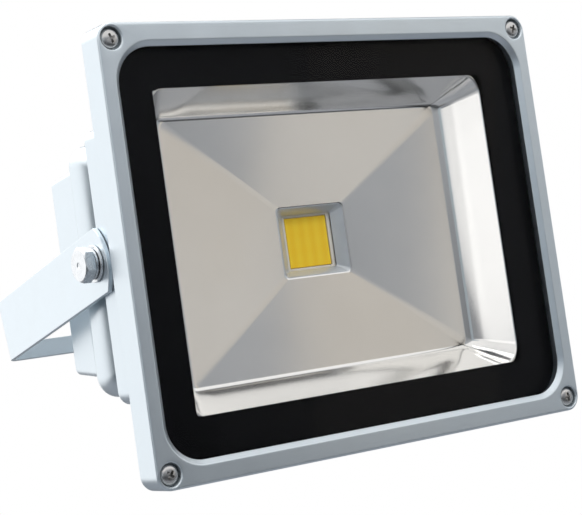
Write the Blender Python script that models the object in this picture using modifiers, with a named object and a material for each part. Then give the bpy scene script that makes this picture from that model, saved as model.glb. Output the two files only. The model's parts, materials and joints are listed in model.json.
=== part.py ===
# LED floodlight on a flat-strip U-bracket, built from separate pieces.
#
# World frame: +Z is up. The origin is the centre of the crossbar's outer face, which bolts to a
# wall whose surface is the plane Y = 0. The arms run forward along -Y to the pivot. The head is
# built in its own frame: X across, "depth" back from the bezel's front face, Z up the bezel.
# That frame hangs on an empty at the pivot, turned by the tilt of the head.

import math

import bmesh
import bpy
from mathutils import Matrix, Vector

# Clearances
GAP = 0.0003                    # between neighbouring pieces that touch on the real lamp
OVERSHOOT = 0.001               # how far a cutter runs past the face that it cuts
SINK = 0.001                    # how far a joined shape reaches into its neighbour
SMOOTH_ANGLE = math.radians(35)  # faces that meet at less are shaded as one round surface

# Bezel: the front frame
BEZEL_WIDTH = 0.225
BEZEL_HEIGHT = 0.185
BEZEL_DEPTH = 0.014
BEZEL_CORNER = 0.0065
BEZEL_EDGE = 0.001
LIP_SIDE = 0.00785              # outer edge to the visible glass, left and right
LIP_TOP = 0.00975               # outer edge to the visible glass, top and bottom
LIP_THICKNESS = 0.0022          # also the width of its 45 degree chamfer
OPENING_CORNER = 0.0155
SEAT_WIDTH = 0.0033             # how far the pocket for the pane reaches behind the lip
SCREW_INSET_SIDE = 0.0062       # bezel screw to the outer edge
SCREW_INSET_TOP = 0.0063
COUNTERBORE_DIAMETER = 0.0094
COUNTERBORE_DEPTH = 0.0036
COUNTERBORE_CHAMFER = 0.0005

# Pane, its printed border and its gasket
PANE_THICKNESS = 0.004
PANE_SLACK = 0.0012             # pane edge to pocket wall
PRINT_THICKNESS = 0.0004
PRINT_INSET = 0.0004            # print edge to pane edge
BORDER_SIDE = 0.01735           # visible black border, left and right
BORDER_TOP = 0.01635            # visible black border, top and bottom
WINDOW_CORNER = 0.0018
GASKET_THICKNESS = 0.0015
GASKET_WIDTH = 0.008

# Reflector tray
SHEET = 0.0008
FLANGE_WIDTH = 0.005
WALL_TOP_OVERLAP = 0.0007       # top of the walls outside the clear window
WALL_TOP_CORNER = 0.011
WALL_DEPTH = 0.0187
WALL_FILLET = 0.0024
WALL_RUN_X = 0.012              # how far the side walls lean inwards
WALL_RUN_Z = 0.0101             # how far the top and bottom walls lean inwards
REFLECTOR_BASE_CORNER = 0.009
FLOOR_DROP = 0.005              # fall of the four facets from the walls to the collar
COLLAR_WIDTH = 0.0354
COLLAR_HEIGHT = 0.0308
COLLAR_DEPTH = 0.0044
COLLAR_SLOPE_X = 0.0046         # how far the collar draws in, each side
COLLAR_SLOPE_Z = 0.0031
COLLAR_CORNER = 0.0012

# LED emitter
PHOSPHOR_SIZE = 0.0222
PHOSPHOR_RECESS = 0.0003        # below the front of its frame
EMITTER_FRAME_WIDTH = 0.0021
EMITTER_FRAME_THICKNESS = 0.0014
LED_PLATE_WIDTH = 0.046
LED_PLATE_HEIGHT = 0.040
LED_PLATE_THICKNESS = 0.0015
LED_PLATE_CORNER = 0.002
LED_SCREW_INSET = 0.0037
THERMAL_PAD_THICKNESS = 0.0005
THERMAL_PAD_MARGIN = 0.001      # pad edge inside the plate edge

# Housing casting
RIM_SLACK = 0.0008              # rim to the bezel's pocket wall
RIM_WIDTH = 0.0087
HOUSING_WALL = 0.004
HOUSING_FLOOR = 0.004
CAVITY_CORNER = 0.009
FLANGE_THICKNESS = 0.004
FLANGE_INSET_TOP = 0.0026       # flange edge inside the bezel edge, top and bottom
FLANGE_CORNER = 0.004
TUB_TAPER = 0.0045              # draft of the light chamber, each side
REAR_DROP = 0.002               # lugs, ridge and driver box below the middle of the bezel
LUG_STEP = 0.0042               # lug face outside the ridge; the arms clasp the lugs
LUG_HEIGHT = 0.112
LUG_DEPTH = 0.0146              # back from the bezel's rear face
LUG_CORNER = 0.0055
LUG_EDGE = 0.0012
NECK_INSET_X = 0.004            # neck between lug and ridge, inside the ridge
NECK_INSET_Z = 0.0042
GROOVE_WIDTH = 0.0034           # between the lug and the ridge
RIDGE_STEP_X = 0.002            # ridge outside the driver box, each side
RIDGE_STEP_Z = 0.0076
RIDGE_DEPTH = 0.0233
RIDGE_CORNER = 0.0085
RIDGE_FRONT_ROUNDING = 0.008
RIDGE_BACK_ROUNDING = 0.005
BOX_SPAN = 0.207                # driver box at the housing floor
BOX_HEIGHT = 0.0912
BOX_DEPTH = 0.034               # back from the housing floor
BOX_TAPER_X = 0.0022            # draft, each side, over the whole box
BOX_TAPER_Z = 0.0035
BOX_CORNER = 0.0028
BOX_EDGE = 0.0016
PIVOT_BOSS_DIAMETER = 0.022
FIN_THICKNESS = 0.0024
FIN_PITCH = 0.014
FIN_SPREAD = 0.168              # centre of the first fin to centre of the last
FIN_DEPTH = 0.018               # back from the housing floor
FIN_CUT = 0.008                 # slanted rear corner
GLAND_CLEARING = 0.020          # no lower fin nearer than this to the gland's axis

# Driver box and rear cover
BOX_WALL = 0.0028               # beside the cover, at the rear
COVER_THICKNESS = 0.0028
COVER_RECESS = 0.0003           # cover face below the box rim
COVER_LEDGE = 0.0032
COVER_CORNER = 0.006
COVER_GASKET_THICKNESS = 0.0015
COVER_PANEL_INSET = 0.012       # raised panel inside the cover edge
COVER_PANEL_RISE = 0.0008
POST_DIAMETER = 0.011
POST_INSET = 0.0045             # post centre inside the ledge edge
LEAD_HOLE_DIAMETER = 0.006
LEAD_HOLE_X = 0.034

# U-bracket
STRIP_WIDTH = 0.027
STRIP_THICKNESS = 0.002
BEND_RADIUS = 0.004             # outer
SWING_GAP = 0.0013              # bezel corner to crossbar when the head turns past it
TIP_RADIUS = 0.020
TIP_REACH = 0.0101              # pivot to the end of the arm
ARM_HOLE_CLEARANCE = 0.0003
SLOT_LENGTH = 0.030
SLOT_WIDTH = 0.011
SLOT_CENTRE = 0.084
SLOT_END_FLAT = 0.0001          # left between the two roundings of a slot's end
EDGE_PASS = 0.0008              # bezel rear face to the edge of an arm at right angles
TILT = math.radians(12.3)       # nose down, as photographed

# Fasteners: thread diameters, head diameters and lengths
BOLT_THREAD = 0.008
BOLT_LENGTH = 0.016
BOLT_HEAD_ACROSS_FLATS = 0.013
BOLT_HEAD_HEIGHT = 0.0046
BOLT_TURN = math.radians(8)
WASHER_DIAMETER = 0.0152
WASHER_THICKNESS = 0.001
SPRING_WASHER_DIAMETER = 0.0127
SPRING_WASHER_THICKNESS = 0.001
SPRING_WASHER_SPLIT = 0.001
CASE_SCREW_THREAD = 0.004       # bezel, cover and earth screws
CASE_SCREW_HEAD = 0.008
CASE_SCREW_HEAD_HEIGHT = 0.0026
SMALL_SCREW_THREAD = 0.003      # LED plate and board screws
SMALL_SCREW_HEAD = 0.0055
SMALL_SCREW_HEAD_HEIGHT = 0.002
PAN_FLAT = 0.55                 # pan head profile, as shares of its radius and height
PAN_SHOULDER = (0.9, 0.7)
PAN_RIM = 0.35
RECESS_LENGTH = 0.52            # cross recess, as shares of the head's diameter
RECESS_WIDTH = 0.13
RECESS_DEPTH = 0.6              # share of the head's height
LED_SCREW_LENGTH = 0.0050
BOARD_SCREW_LENGTH = 0.0055
EARTH_SCREW_LENGTH = 0.0055
COVER_SCREW_LENGTH = 0.012
THREAD_ENGAGEMENT = 0.0036      # bezel screws in the housing flange

# Cable gland
GLAND_DEPTH_IN_BOX = 0.020      # gland axis back from the housing floor
GLAND_BOSS_DIAMETER = 0.025
GLAND_BOSS_HEIGHT = 0.0025      # below the box where it meets the ridge
GLAND_THREAD = 0.016
GLAND_BORE = 0.009
GLAND_HEX = 0.020
GLAND_HEX_HEIGHT = 0.005
GLAND_NECK = 0.0144
GLAND_NECK_LENGTH = 0.010
GLAND_SEAL_DIAMETER = 0.0114
GLAND_SEAL_BORE = 0.008
GLAND_SEAL_LENGTH = 0.006
GLAND_NUT_HEX = 0.020
GLAND_NUT_WALL = 0.0027
GLAND_NUT_NOSE = 0.0072         # radius of the nut's small end
GLAND_NUT_SHOULDER = 0.0095     # radius where its dome begins
GLAND_NUT_CORNER = 0.0117       # radius that the flats are cut from
LOCK_NUT_HEX = 0.0195
LOCK_NUT_HEIGHT = 0.0035
LOCK_NUT_GRIP = 0.0012          # thread that stands out of the lock nut

# Driver
BOARD_WIDTH = 0.112
BOARD_HEIGHT = 0.046
BOARD_THICKNESS = 0.0016
BOARD_SCREW_INSET = 0.005
STANDOFF_HEIGHT = 0.006
STANDOFF_DIAMETER = 0.007
EARTH_BOSS_X = -0.072
EARTH_BOSS_Z = -0.012
EARTH_BOSS_HEIGHT = 0.004
EARTH_BOSS_DIAMETER = 0.009
LEAD_DIAMETER = 0.0016
LEAD_SPACING = 0.0024
LEAD_PAD_INSET = 0.002          # solder pad to the LED plate's edge
LEAD_PAD_Z = 0.006
LEAD_RUN = 0.004                # straight run off the pad
LEAD_RUN_DROP = 0.001
LEAD_TURN = 0.003               # where a lead starts to turn into the floor's hole
LEAD_DIP = 0.002
TRANSFORMER_X = 0.004
CORE_SIZE = (0.026, 0.012, 0.018)    # width, height on the board, stand off the board
CORE_LEG = 0.0045
WINDING_BULGE = 0.004
WINDING_CORNER = 0.001
CAN_ROUNDING = 0.0006
INPUT_CAN = (-0.020, 0.008, 0.012, 0.019)    # x, z, diameter, height
OUTPUT_CAN = (0.038, 0.010, 0.010, 0.016)
CHOKE_PLACE = (-0.020, -0.009)
CHOKE_RADII = (0.0030, 0.0070)
CHOKE_HEIGHT = 0.0075
FILM_BLOCK = (-0.034, 0.009, 0.006, 0.016, 0.012)    # x, z, width, height, stand
FILM_CORNER = 0.0008
RECTIFIER_BLOCK = (-0.034, -0.010, 0.004, 0.014, 0.010)
HEAT_PLATE_BLOCK = (0.026, -0.004, 0.002, 0.030, 0.016)
TRANSISTOR_SIZE = (0.0044, 0.010, 0.011)    # width, height, stand
TRANSISTOR_LIFT = 0.003
TRANSISTOR_Z = -0.006
TERMINAL_BLOCK = (-0.048, 0.0, 0.010, 0.024, 0.011)
TERMINAL_CORNER = 0.0006

# Derived sizes
RIDGE_SPAN = BOX_SPAN + 2 * RIDGE_STEP_X
RIDGE_HEIGHT = BOX_HEIGHT + 2 * RIDGE_STEP_Z
NECK_SPAN = RIDGE_SPAN - 2 * NECK_INSET_X
NECK_HEIGHT = RIDGE_HEIGHT - 2 * NECK_INSET_Z
LUG_SPAN = RIDGE_SPAN + 2 * LUG_STEP
OPEN_X = BEZEL_WIDTH / 2 - LIP_SIDE
OPEN_Z = BEZEL_HEIGHT / 2 - LIP_TOP
WINDOW_X = OPEN_X - BORDER_SIDE
WINDOW_Z = OPEN_Z - BORDER_TOP
WALL_TOP_X = WINDOW_X + WALL_TOP_OVERLAP
WALL_TOP_Z = WINDOW_Z + WALL_TOP_OVERLAP
BASE_X = WALL_TOP_X - WALL_RUN_X
BASE_Z = WALL_TOP_Z - WALL_RUN_Z
POCKET_X = OPEN_X + SEAT_WIDTH
POCKET_Z = OPEN_Z + SEAT_WIDTH
POCKET_CORNER = OPENING_CORNER + SEAT_WIDTH
PANE_X = POCKET_X - PANE_SLACK
PANE_Z = POCKET_Z - PANE_SLACK
PANE_CORNER = POCKET_CORNER - PANE_SLACK
RIM_X = POCKET_X - RIM_SLACK
RIM_Z = POCKET_Z - RIM_SLACK
RIM_CORNER = POCKET_CORNER - RIM_SLACK
RECESS_X = RIM_X - RIM_WIDTH
RECESS_Z = RIM_Z - RIM_WIDTH
RECESS_CORNER = RIM_CORNER - RIM_WIDTH / 2
CAVITY_X = RECESS_X - FLANGE_WIDTH
CAVITY_Z = RECESS_Z - FLANGE_WIDTH
BEZEL_SCREW_X = BEZEL_WIDTH / 2 - SCREW_INSET_SIDE
BEZEL_SCREW_Z = BEZEL_HEIGHT / 2 - SCREW_INSET_TOP

# Depths, from the bezel's front face
PANE_FRONT = LIP_THICKNESS + GAP
PRINT_FRONT = PANE_FRONT + PANE_THICKNESS + GAP
GASKET_FRONT = PRINT_FRONT + PRINT_THICKNESS + GAP
RIM_FRONT = GASKET_FRONT + GASKET_THICKNESS + GAP
LEDGE_DEPTH = RIM_FRONT + SHEET + GAP
REFLECTOR_BASE = RIM_FRONT + WALL_DEPTH
COLLAR_FRONT = REFLECTOR_BASE + FLOOR_DROP
COLLAR_END = COLLAR_FRONT + COLLAR_DEPTH
EMITTER_FRONT = COLLAR_END + GAP
LED_PLATE_FRONT = EMITTER_FRONT + EMITTER_FRAME_THICKNESS + GAP
PAD_FRONT = LED_PLATE_FRONT + LED_PLATE_THICKNESS + GAP
FLOOR_FRONT = PAD_FRONT + THERMAL_PAD_THICKNESS + GAP
FLOOR_BACK = FLOOR_FRONT + HOUSING_FLOOR
FLANGE_FRONT = BEZEL_DEPTH + GAP
FLANGE_BACK = FLANGE_FRONT + FLANGE_THICKNESS
LUG_BACK = BEZEL_DEPTH + LUG_DEPTH
RIDGE_FRONT = LUG_BACK + GROOVE_WIDTH
RIDGE_BACK = RIDGE_FRONT + RIDGE_DEPTH
BOX_BACK = FLOOR_BACK + BOX_DEPTH
COVER_BACK = BOX_BACK - COVER_RECESS
COVER_FRONT = COVER_BACK - COVER_THICKNESS
COVER_GASKET_FRONT = COVER_FRONT - GAP - COVER_GASKET_THICKNESS
COVER_LEDGE_DEPTH = COVER_GASKET_FRONT - GAP
GLAND_DEPTH = FLOOR_BACK + GLAND_DEPTH_IN_BOX
BOARD_FRONT = FLOOR_BACK + STANDOFF_HEIGHT + GAP
BOARD_BACK = BOARD_FRONT + BOARD_THICKNESS
BOARD_TOP = BOARD_BACK + GAP    # foot of every component

# Pivot and bracket
PIVOT_DEPTH = BEZEL_DEPTH + STRIP_WIDTH / 2 + EDGE_PASS
BRACKET_INNER_X = LUG_SPAN / 2 + GAP
BRACKET_OUTER_X = BRACKET_INNER_X + STRIP_THICKNESS
REACH = math.hypot(PIVOT_DEPTH, BEZEL_HEIGHT / 2) + SWING_GAP + STRIP_THICKNESS
WASHER_X = BRACKET_OUTER_X + GAP
SPRING_WASHER_X = WASHER_X + WASHER_THICKNESS + GAP
BOLT_HEAD_X = SPRING_WASHER_X + SPRING_WASHER_THICKNESS + GAP

# Driver box
BOX_REAR_X = BOX_SPAN / 2 - BOX_TAPER_X
BOX_REAR_Z = BOX_HEIGHT / 2 - BOX_TAPER_Z
LID_X = BOX_REAR_X - BOX_WALL
LID_Z = BOX_REAR_Z - BOX_WALL
DRIVER_X = LID_X - COVER_LEDGE
DRIVER_Z = LID_Z - COVER_LEDGE
POST_X = DRIVER_X - POST_INSET
POST_Z = DRIVER_Z - POST_INSET
GLAND_SEAT = -(BOX_HEIGHT / 2 + GLAND_BOSS_HEIGHT)


def clear_scene():
    for obj in list(bpy.data.objects):
        bpy.data.objects.remove(obj, do_unlink=True)


def new_collection(name):
    collection = bpy.data.collections.new(name)
    bpy.context.scene.collection.children.link(collection)
    return collection


clear_scene()
PARTS = new_collection("led_floodlight")
CUTTERS = new_collection("cutters")


def make_material(name, colour, roughness, metallic=0.0, alpha=1.0, transmission=0.0):
    material = bpy.data.materials.new(name)
    material.use_nodes = True
    shader = material.node_tree.nodes["Principled BSDF"]
    shader.inputs["Base Color"].default_value = (*colour, 1.0)
    shader.inputs["Roughness"].default_value = roughness
    shader.inputs["Metallic"].default_value = metallic
    shader.inputs["Alpha"].default_value = alpha
    shader.inputs["Transmission Weight"].default_value = transmission
    return material


SILVER_PAINT = make_material("silver_powder_coat", (0.50, 0.55, 0.60), 0.45, 0.3)
GLASS = make_material("clear_glass", (0.95, 0.97, 0.97), 0.03, 0.0, 0.35, 1.0)
BLACK_PRINT = make_material("black_enamel_print", (0.006, 0.006, 0.008), 0.25)
BLACK_SILICONE = make_material("black_silicone", (0.02, 0.02, 0.02), 0.7)
BRIGHT_ALUMINIUM = make_material("bright_anodised_aluminium", (0.80, 0.79, 0.77), 0.28, 1.0)
PHOSPHOR = make_material("yellow_phosphor", (0.85, 0.62, 0.04), 0.5)
WHITE_CERAMIC = make_material("white_frame", (0.80, 0.78, 0.74), 0.5)
COPPER_PLATE = make_material("nickelled_copper", (0.75, 0.68, 0.58), 0.3, 1.0)
GREY_PAD = make_material("grey_thermal_pad", (0.45, 0.47, 0.50), 0.8)
STAINLESS = make_material("stainless_steel", (0.62, 0.62, 0.62), 0.3, 1.0)
ZINC = make_material("zinc_plated_steel", (0.66, 0.68, 0.70), 0.32, 1.0)
BLACK_NYLON = make_material("black_nylon", (0.025, 0.025, 0.027), 0.5)
GREEN_BOARD = make_material("green_circuit_board", (0.02, 0.16, 0.06), 0.4)
FERRITE = make_material("grey_ferrite", (0.08, 0.08, 0.09), 0.6)
YELLOW_TAPE = make_material("yellow_tape", (0.80, 0.62, 0.10), 0.4)
BLACK_SLEEVE = make_material("black_sleeve", (0.02, 0.02, 0.03), 0.35)
RED_SLEEVE = make_material("red_sleeve", (0.55, 0.03, 0.02), 0.4)
ORANGE_FILM = make_material("orange_film", (0.60, 0.20, 0.03), 0.4)
GREEN_BLOCK = make_material("green_terminal", (0.03, 0.30, 0.12), 0.45)
BRASS = make_material("brass", (0.72, 0.55, 0.25), 0.3, 1.0)

HEAD = bpy.data.objects.new("head_pivot", None)
HEAD.location = (0.0, -REACH, 0.0)
HEAD.rotation_euler = (TILT, 0.0, 0.0)
PARTS.objects.link(HEAD)

# The lugs, the ridge and the driver box sit a little below the middle of the bezel
REAR = bpy.data.objects.new("rear_centre", None)
REAR.parent = HEAD
REAR.location = (0.0, 0.0, -REAR_DROP)
PARTS.objects.link(REAR)

# A corner of a hexagon would reach the ridge or the rear cover, so a flat faces them
HEX_FLAT_BACK = math.pi / 6

# Rotations that turn a shape's own Z axis to the named direction
AXIS_BACK = (-math.pi / 2, 0.0, 0.0)
AXIS_FRONT = (math.pi / 2, 0.0, 0.0)
AXIS_DOWN = (math.pi, 0.0, 0.0)


def place(obj, x, depth, z, rotation=(0.0, 0.0, 0.0), frame=HEAD):
    """Sets an object in the head, or in the rear body that sits lower."""
    obj.parent = frame
    obj.location = (x, depth - PIVOT_DEPTH, z)
    obj.rotation_euler = rotation
    return obj


def sort_object(obj, material):
    """A part if it has a material, or else a cutter."""
    if material:
        obj.data.materials.append(material)
        PARTS.objects.link(obj)
    else:
        obj.hide_render = True
        obj.display_type = "WIRE"
        CUTTERS.objects.link(obj)
    return obj


def finish(name, bm, material=None):
    """Makes an object from a bmesh, its rounded faces shaded smooth."""
    bmesh.ops.recalc_face_normals(bm, faces=bm.faces)
    mesh = bpy.data.meshes.new(name)
    bm.to_mesh(mesh)
    bm.free()
    mesh.shade_smooth()
    mesh.set_sharp_from_angle(angle=SMOOTH_ANGLE)
    return sort_object(bpy.data.objects.new(name, mesh), material)


def box_mesh(size_x, size_y, size_z, centre=(0.0, 0.0, 0.0)):
    bm = bmesh.new()
    bmesh.ops.create_cube(bm, size=1.0)
    bmesh.ops.scale(bm, vec=(size_x, size_y, size_z), verts=bm.verts)
    bmesh.ops.translate(bm, vec=centre, verts=bm.verts)
    return bm


def round_edges(bm, edges, radius, segments):
    bmesh.ops.bevel(bm, geom=list(edges), offset=radius, segments=segments, profile=0.5,
                    affect="EDGES", clamp_overlap=True)


def depth_edges(bm):
    """Edges that run from the front to the back."""
    return [edge for edge in bm.edges if edge.verts[0].co.y * edge.verts[1].co.y < 0]


def end_edges(bm, side):
    """Outline edges of the front (side -1) or back (side 1) face."""
    reach = max(vert.co.y * side for vert in bm.verts)
    return [edge for edge in bm.edges
            if all(abs(vert.co.y * side - reach) < 1e-6 for vert in edge.verts)]


def slab_mesh(half_x, half_z, thickness, corner, corner_segments=4, taper=(0.0, 0.0)):
    """A plate with rounded corners, facing front, narrowed at the back by the taper."""
    bm = box_mesh(2 * half_x, thickness, 2 * half_z)
    if taper != (0.0, 0.0):
        for vert in bm.verts:
            if vert.co.y > 0:
                vert.co.x -= math.copysign(taper[0], vert.co.x)
                vert.co.z -= math.copysign(taper[1], vert.co.z)
    if corner > 0:
        round_edges(bm, depth_edges(bm), corner, corner_segments)
    return bm


def slab(name, half_x, half_z, front, back, corner, material=None, corner_segments=4,
         front_edge=(0.0, 1), back_edge=(0.0, 1), taper=(0.0, 0.0), at=(0.0, 0.0), frame=HEAD):
    """A rounded plate between two depths of the head."""
    bm = slab_mesh(half_x, half_z, back - front, corner, corner_segments, taper)
    for side, (radius, segments) in ((-1, front_edge), (1, back_edge)):
        if radius > 0:
            round_edges(bm, end_edges(bm, side), radius, segments)
    obj = finish(name, bm, material)
    return place(obj, at[0], (front + back) / 2, at[1], frame=frame)


def rod(name, radius, length, material=None, sides=20, turn=0.0):
    """A cylinder or prism with its base at the origin, along its own +Z."""
    bm = bmesh.new()
    rise = Matrix.Translation((0.0, 0.0, length / 2))
    bmesh.ops.create_cone(bm, cap_ends=True, segments=sides, radius1=radius, radius2=radius,
                          depth=length, matrix=rise @ Matrix.Rotation(turn, 4, "Z"))
    return finish(name, bm, material)


def hexagon(name, across_flats, length, material=None, turn=0.0):
    return rod(name, across_flats / math.sqrt(3), length, material, sides=6, turn=turn)


def turned(name, profile, material=None, steps=20):
    """A profile of (radius, height) points turned round Z with a Screw modifier.

    The outer side runs from top to bottom. A profile that starts and ends off the axis is a ring.
    """
    mesh = bpy.data.meshes.new(name)
    points = [(radius, 0.0, height) for radius, height in profile]
    edges = [(index, index + 1) for index in range(len(points) - 1)]
    if profile[0][0] > 0:
        edges.append((len(points) - 1, 0))
    mesh.from_pydata(points, edges, [])
    obj = bpy.data.objects.new(name, mesh)
    screw = obj.modifiers.new("Turn", "SCREW")
    screw.steps = steps
    screw.render_steps = steps
    screw.use_merge_vertices = True
    screw.merge_threshold = 0.00001
    return sort_object(obj, material)


def ring_profile(inner, outer, thickness):
    return [(inner, thickness), (outer, thickness), (outer, 0.0), (inner, 0.0)]


def boolean(target, tool, operation):
    modifier = target.modifiers.new(tool.name, "BOOLEAN")
    modifier.operation = operation
    modifier.object = tool
    modifier.solver = "EXACT"
    return target


def cut(target, *tools):
    for tool in tools:
        boolean(target, tool, "DIFFERENCE")


def join(target, *tools):
    for tool in tools:
        boolean(target, tool, "UNION")


def tube(name, points, diameter, material):
    """A wire along straight runs, with filled ends."""
    curve = bpy.data.curves.new(name, "CURVE")
    curve.dimensions = "3D"
    curve.bevel_depth = diameter / 2
    curve.bevel_resolution = 2
    curve.use_fill_caps = True
    spline = curve.splines.new("POLY")
    spline.points.add(len(points) - 1)
    for point, position in zip(spline.points, points):
        point.co = (*position, 1.0)
    curve.materials.append(material)
    obj = bpy.data.objects.new(name, curve)
    PARTS.objects.link(obj)
    return place(obj, 0.0, 0.0, 0.0)


def corners(x, z):
    return [(side_x * x, side_z * z) for side_z in (1, -1) for side_x in (-1, 1)]


def screw_profile(head_diameter, head_height, thread, length):
    """A pan head over a plain shank: the head's underside is at height zero."""
    head = head_diameter / 2
    return [(0.0, head_height), (head * PAN_FLAT, head_height),
            (head * PAN_SHOULDER[0], head_height * PAN_SHOULDER[1]), (head, head_height * PAN_RIM),
            (head, 0.0), (thread / 2, 0.0), (thread / 2, -length), (0.0, -length)]


def screw(name, head_diameter, head_height, thread, length, x, seat, z, axis, recess=True,
          frame=HEAD):
    """A cross-recess screw whose head sits on the depth "seat"."""
    profile = screw_profile(head_diameter, head_height, thread, length)
    obj = turned(name, profile, STAINLESS, steps=16)
    place(obj, x, seat, z, axis, frame)
    if recess:
        for index, turn in enumerate((0.0, math.pi / 2)):
            bm = box_mesh(head_diameter * RECESS_LENGTH, head_diameter * RECESS_WIDTH,
                          head_height * RECESS_DEPTH * 2, (0.0, 0.0, head_height))
            bmesh.ops.rotate(bm, verts=bm.verts, cent=(0.0, 0.0, 0.0),
                             matrix=Matrix.Rotation(turn, 3, "Z"))
            blade = finish(f"{name}_blade_{index}", bm)
            place(blade, x, seat, z, axis, frame)
            cut(obj, blade)
    return obj


def make_bezel():
    bezel = slab("bezel", BEZEL_WIDTH / 2, BEZEL_HEIGHT / 2, 0.0, BEZEL_DEPTH, BEZEL_CORNER,
                 SILVER_PAINT, front_edge=(BEZEL_EDGE, 2))
    pocket = slab("bezel_pocket", POCKET_X, POCKET_Z, LIP_THICKNESS, BEZEL_DEPTH + OVERSHOOT,
                  POCKET_CORNER, corner_segments=6)
    # The opening's 45 degree chamfer: a slab that narrows by its own thickness
    chamfer = LIP_THICKNESS + 2 * OVERSHOOT
    opening = slab("bezel_opening", OPEN_X + LIP_THICKNESS + OVERSHOOT,
                   OPEN_Z + LIP_THICKNESS + OVERSHOOT, -OVERSHOOT, LIP_THICKNESS + OVERSHOOT,
                   OPENING_CORNER + LIP_THICKNESS, corner_segments=6, taper=(chamfer, chamfer))
    cut(bezel, pocket, opening)
    bore = COUNTERBORE_DIAMETER / 2
    hole = CASE_SCREW_THREAD / 2 + GAP
    wide = bore + COUNTERBORE_CHAMFER + OVERSHOOT
    profile = [(0.0, OVERSHOOT), (wide, OVERSHOOT), (bore, -COUNTERBORE_CHAMFER),
               (bore, -COUNTERBORE_DEPTH), (hole, -COUNTERBORE_DEPTH),
               (hole, -BEZEL_DEPTH - OVERSHOOT), (0.0, -BEZEL_DEPTH - OVERSHOOT)]
    for index, (x, z) in enumerate(corners(BEZEL_SCREW_X, BEZEL_SCREW_Z), 1):
        bore_cutter = turned(f"bezel_bore_{index}", profile)
        place(bore_cutter, x, 0.0, z, AXIS_FRONT)
        cut(bezel, bore_cutter)
        seat = COUNTERBORE_DEPTH - GAP
        length = FLANGE_FRONT + THREAD_ENGAGEMENT - seat
        screw(f"bezel_screw_{index}", CASE_SCREW_HEAD, CASE_SCREW_HEAD_HEIGHT, CASE_SCREW_THREAD,
              length, x, seat, z, AXIS_FRONT)


def make_pane():
    slab("front_glass", PANE_X, PANE_Z, PANE_FRONT, PANE_FRONT + PANE_THICKNESS, PANE_CORNER, GLASS)
    printed = slab("glass_print", PANE_X - PRINT_INSET, PANE_Z - PRINT_INSET, PRINT_FRONT,
                   PRINT_FRONT + PRINT_THICKNESS, PANE_CORNER - PRINT_INSET, BLACK_PRINT)
    window = slab("print_window", WINDOW_X, WINDOW_Z, PRINT_FRONT - OVERSHOOT,
                  PRINT_FRONT + PRINT_THICKNESS + OVERSHOOT, WINDOW_CORNER, corner_segments=2)
    cut(printed, window)
    gasket = slab("glass_gasket", RIM_X - GAP, RIM_Z - GAP, GASKET_FRONT,
                  GASKET_FRONT + GASKET_THICKNESS, RIM_CORNER - GAP, BLACK_SILICONE)
    inside = slab("gasket_hole", RIM_X - GAP - GASKET_WIDTH, RIM_Z - GAP - GASKET_WIDTH,
                  GASKET_FRONT - OVERSHOOT, GASKET_FRONT + GASKET_THICKNESS + OVERSHOOT,
                  RIM_CORNER - GAP - GASKET_WIDTH / 2)
    cut(gasket, inside)


def ring_outline(half_x, half_z, radius, depth, segments=3):
    """Points of a rounded rectangle facing front, at one depth."""
    points = []
    for quarter, (side_x, side_z) in enumerate(((1, 1), (-1, 1), (-1, -1), (1, -1))):
        for step in range(segments + 1):
            angle = math.pi / 2 * (quarter + step / segments)
            points.append(Vector((side_x * (half_x - radius) + radius * math.cos(angle), depth,
                                  side_z * (half_z - radius) + radius * math.sin(angle))))
    return points


def make_reflector():
    """A pressed tray: rings from the flange down the walls, over the facets, into the collar."""
    lift = WALL_FILLET / WALL_DEPTH
    rings = [
        (RECESS_X - GAP, RECESS_Z - GAP, RECESS_CORNER, RIM_FRONT),
        (WALL_TOP_X, WALL_TOP_Z, WALL_TOP_CORNER, RIM_FRONT),
        (BASE_X + WALL_RUN_X * lift, BASE_Z + WALL_RUN_Z * lift, REFLECTOR_BASE_CORNER,
         REFLECTOR_BASE - WALL_FILLET),
        (BASE_X - WALL_FILLET, BASE_Z - WALL_FILLET, REFLECTOR_BASE_CORNER - WALL_FILLET,
         REFLECTOR_BASE + WALL_FILLET * FLOOR_DROP / BASE_X),
        (COLLAR_WIDTH / 2, COLLAR_HEIGHT / 2, COLLAR_CORNER, COLLAR_FRONT),
        (COLLAR_WIDTH / 2 - COLLAR_SLOPE_X, COLLAR_HEIGHT / 2 - COLLAR_SLOPE_Z,
         COLLAR_CORNER / 2, COLLAR_END - SHEET / 2),
    ]
    bm = bmesh.new()
    loops = []
    for ring in rings:
        verts = [bm.verts.new(point) for point in ring_outline(*ring)]
        loops.append([bm.edges.new((a, b)) for a, b in zip(verts, verts[1:] + verts[:1])])
    for outer, inner in zip(loops, loops[1:]):
        bmesh.ops.bridge_loops(bm, edges=outer + inner)
    bmesh.ops.recalc_face_normals(bm, faces=bm.faces)
    # The sheet thickens away from the light, so its bright side must face the front
    if sum(face.normal.y * face.calc_area() for face in bm.faces) > 0:
        bmesh.ops.reverse_faces(bm, faces=bm.faces)
    mesh = bpy.data.meshes.new("reflector")
    bm.to_mesh(mesh)
    bm.free()
    mesh.materials.append(BRIGHT_ALUMINIUM)
    reflector = bpy.data.objects.new("reflector", mesh)
    PARTS.objects.link(reflector)
    sheet = reflector.modifiers.new("Sheet", "SOLIDIFY")
    sheet.thickness = SHEET
    sheet.offset = -1.0
    sheet.use_even_offset = True
    place(reflector, 0.0, 0.0, 0.0)


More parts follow.
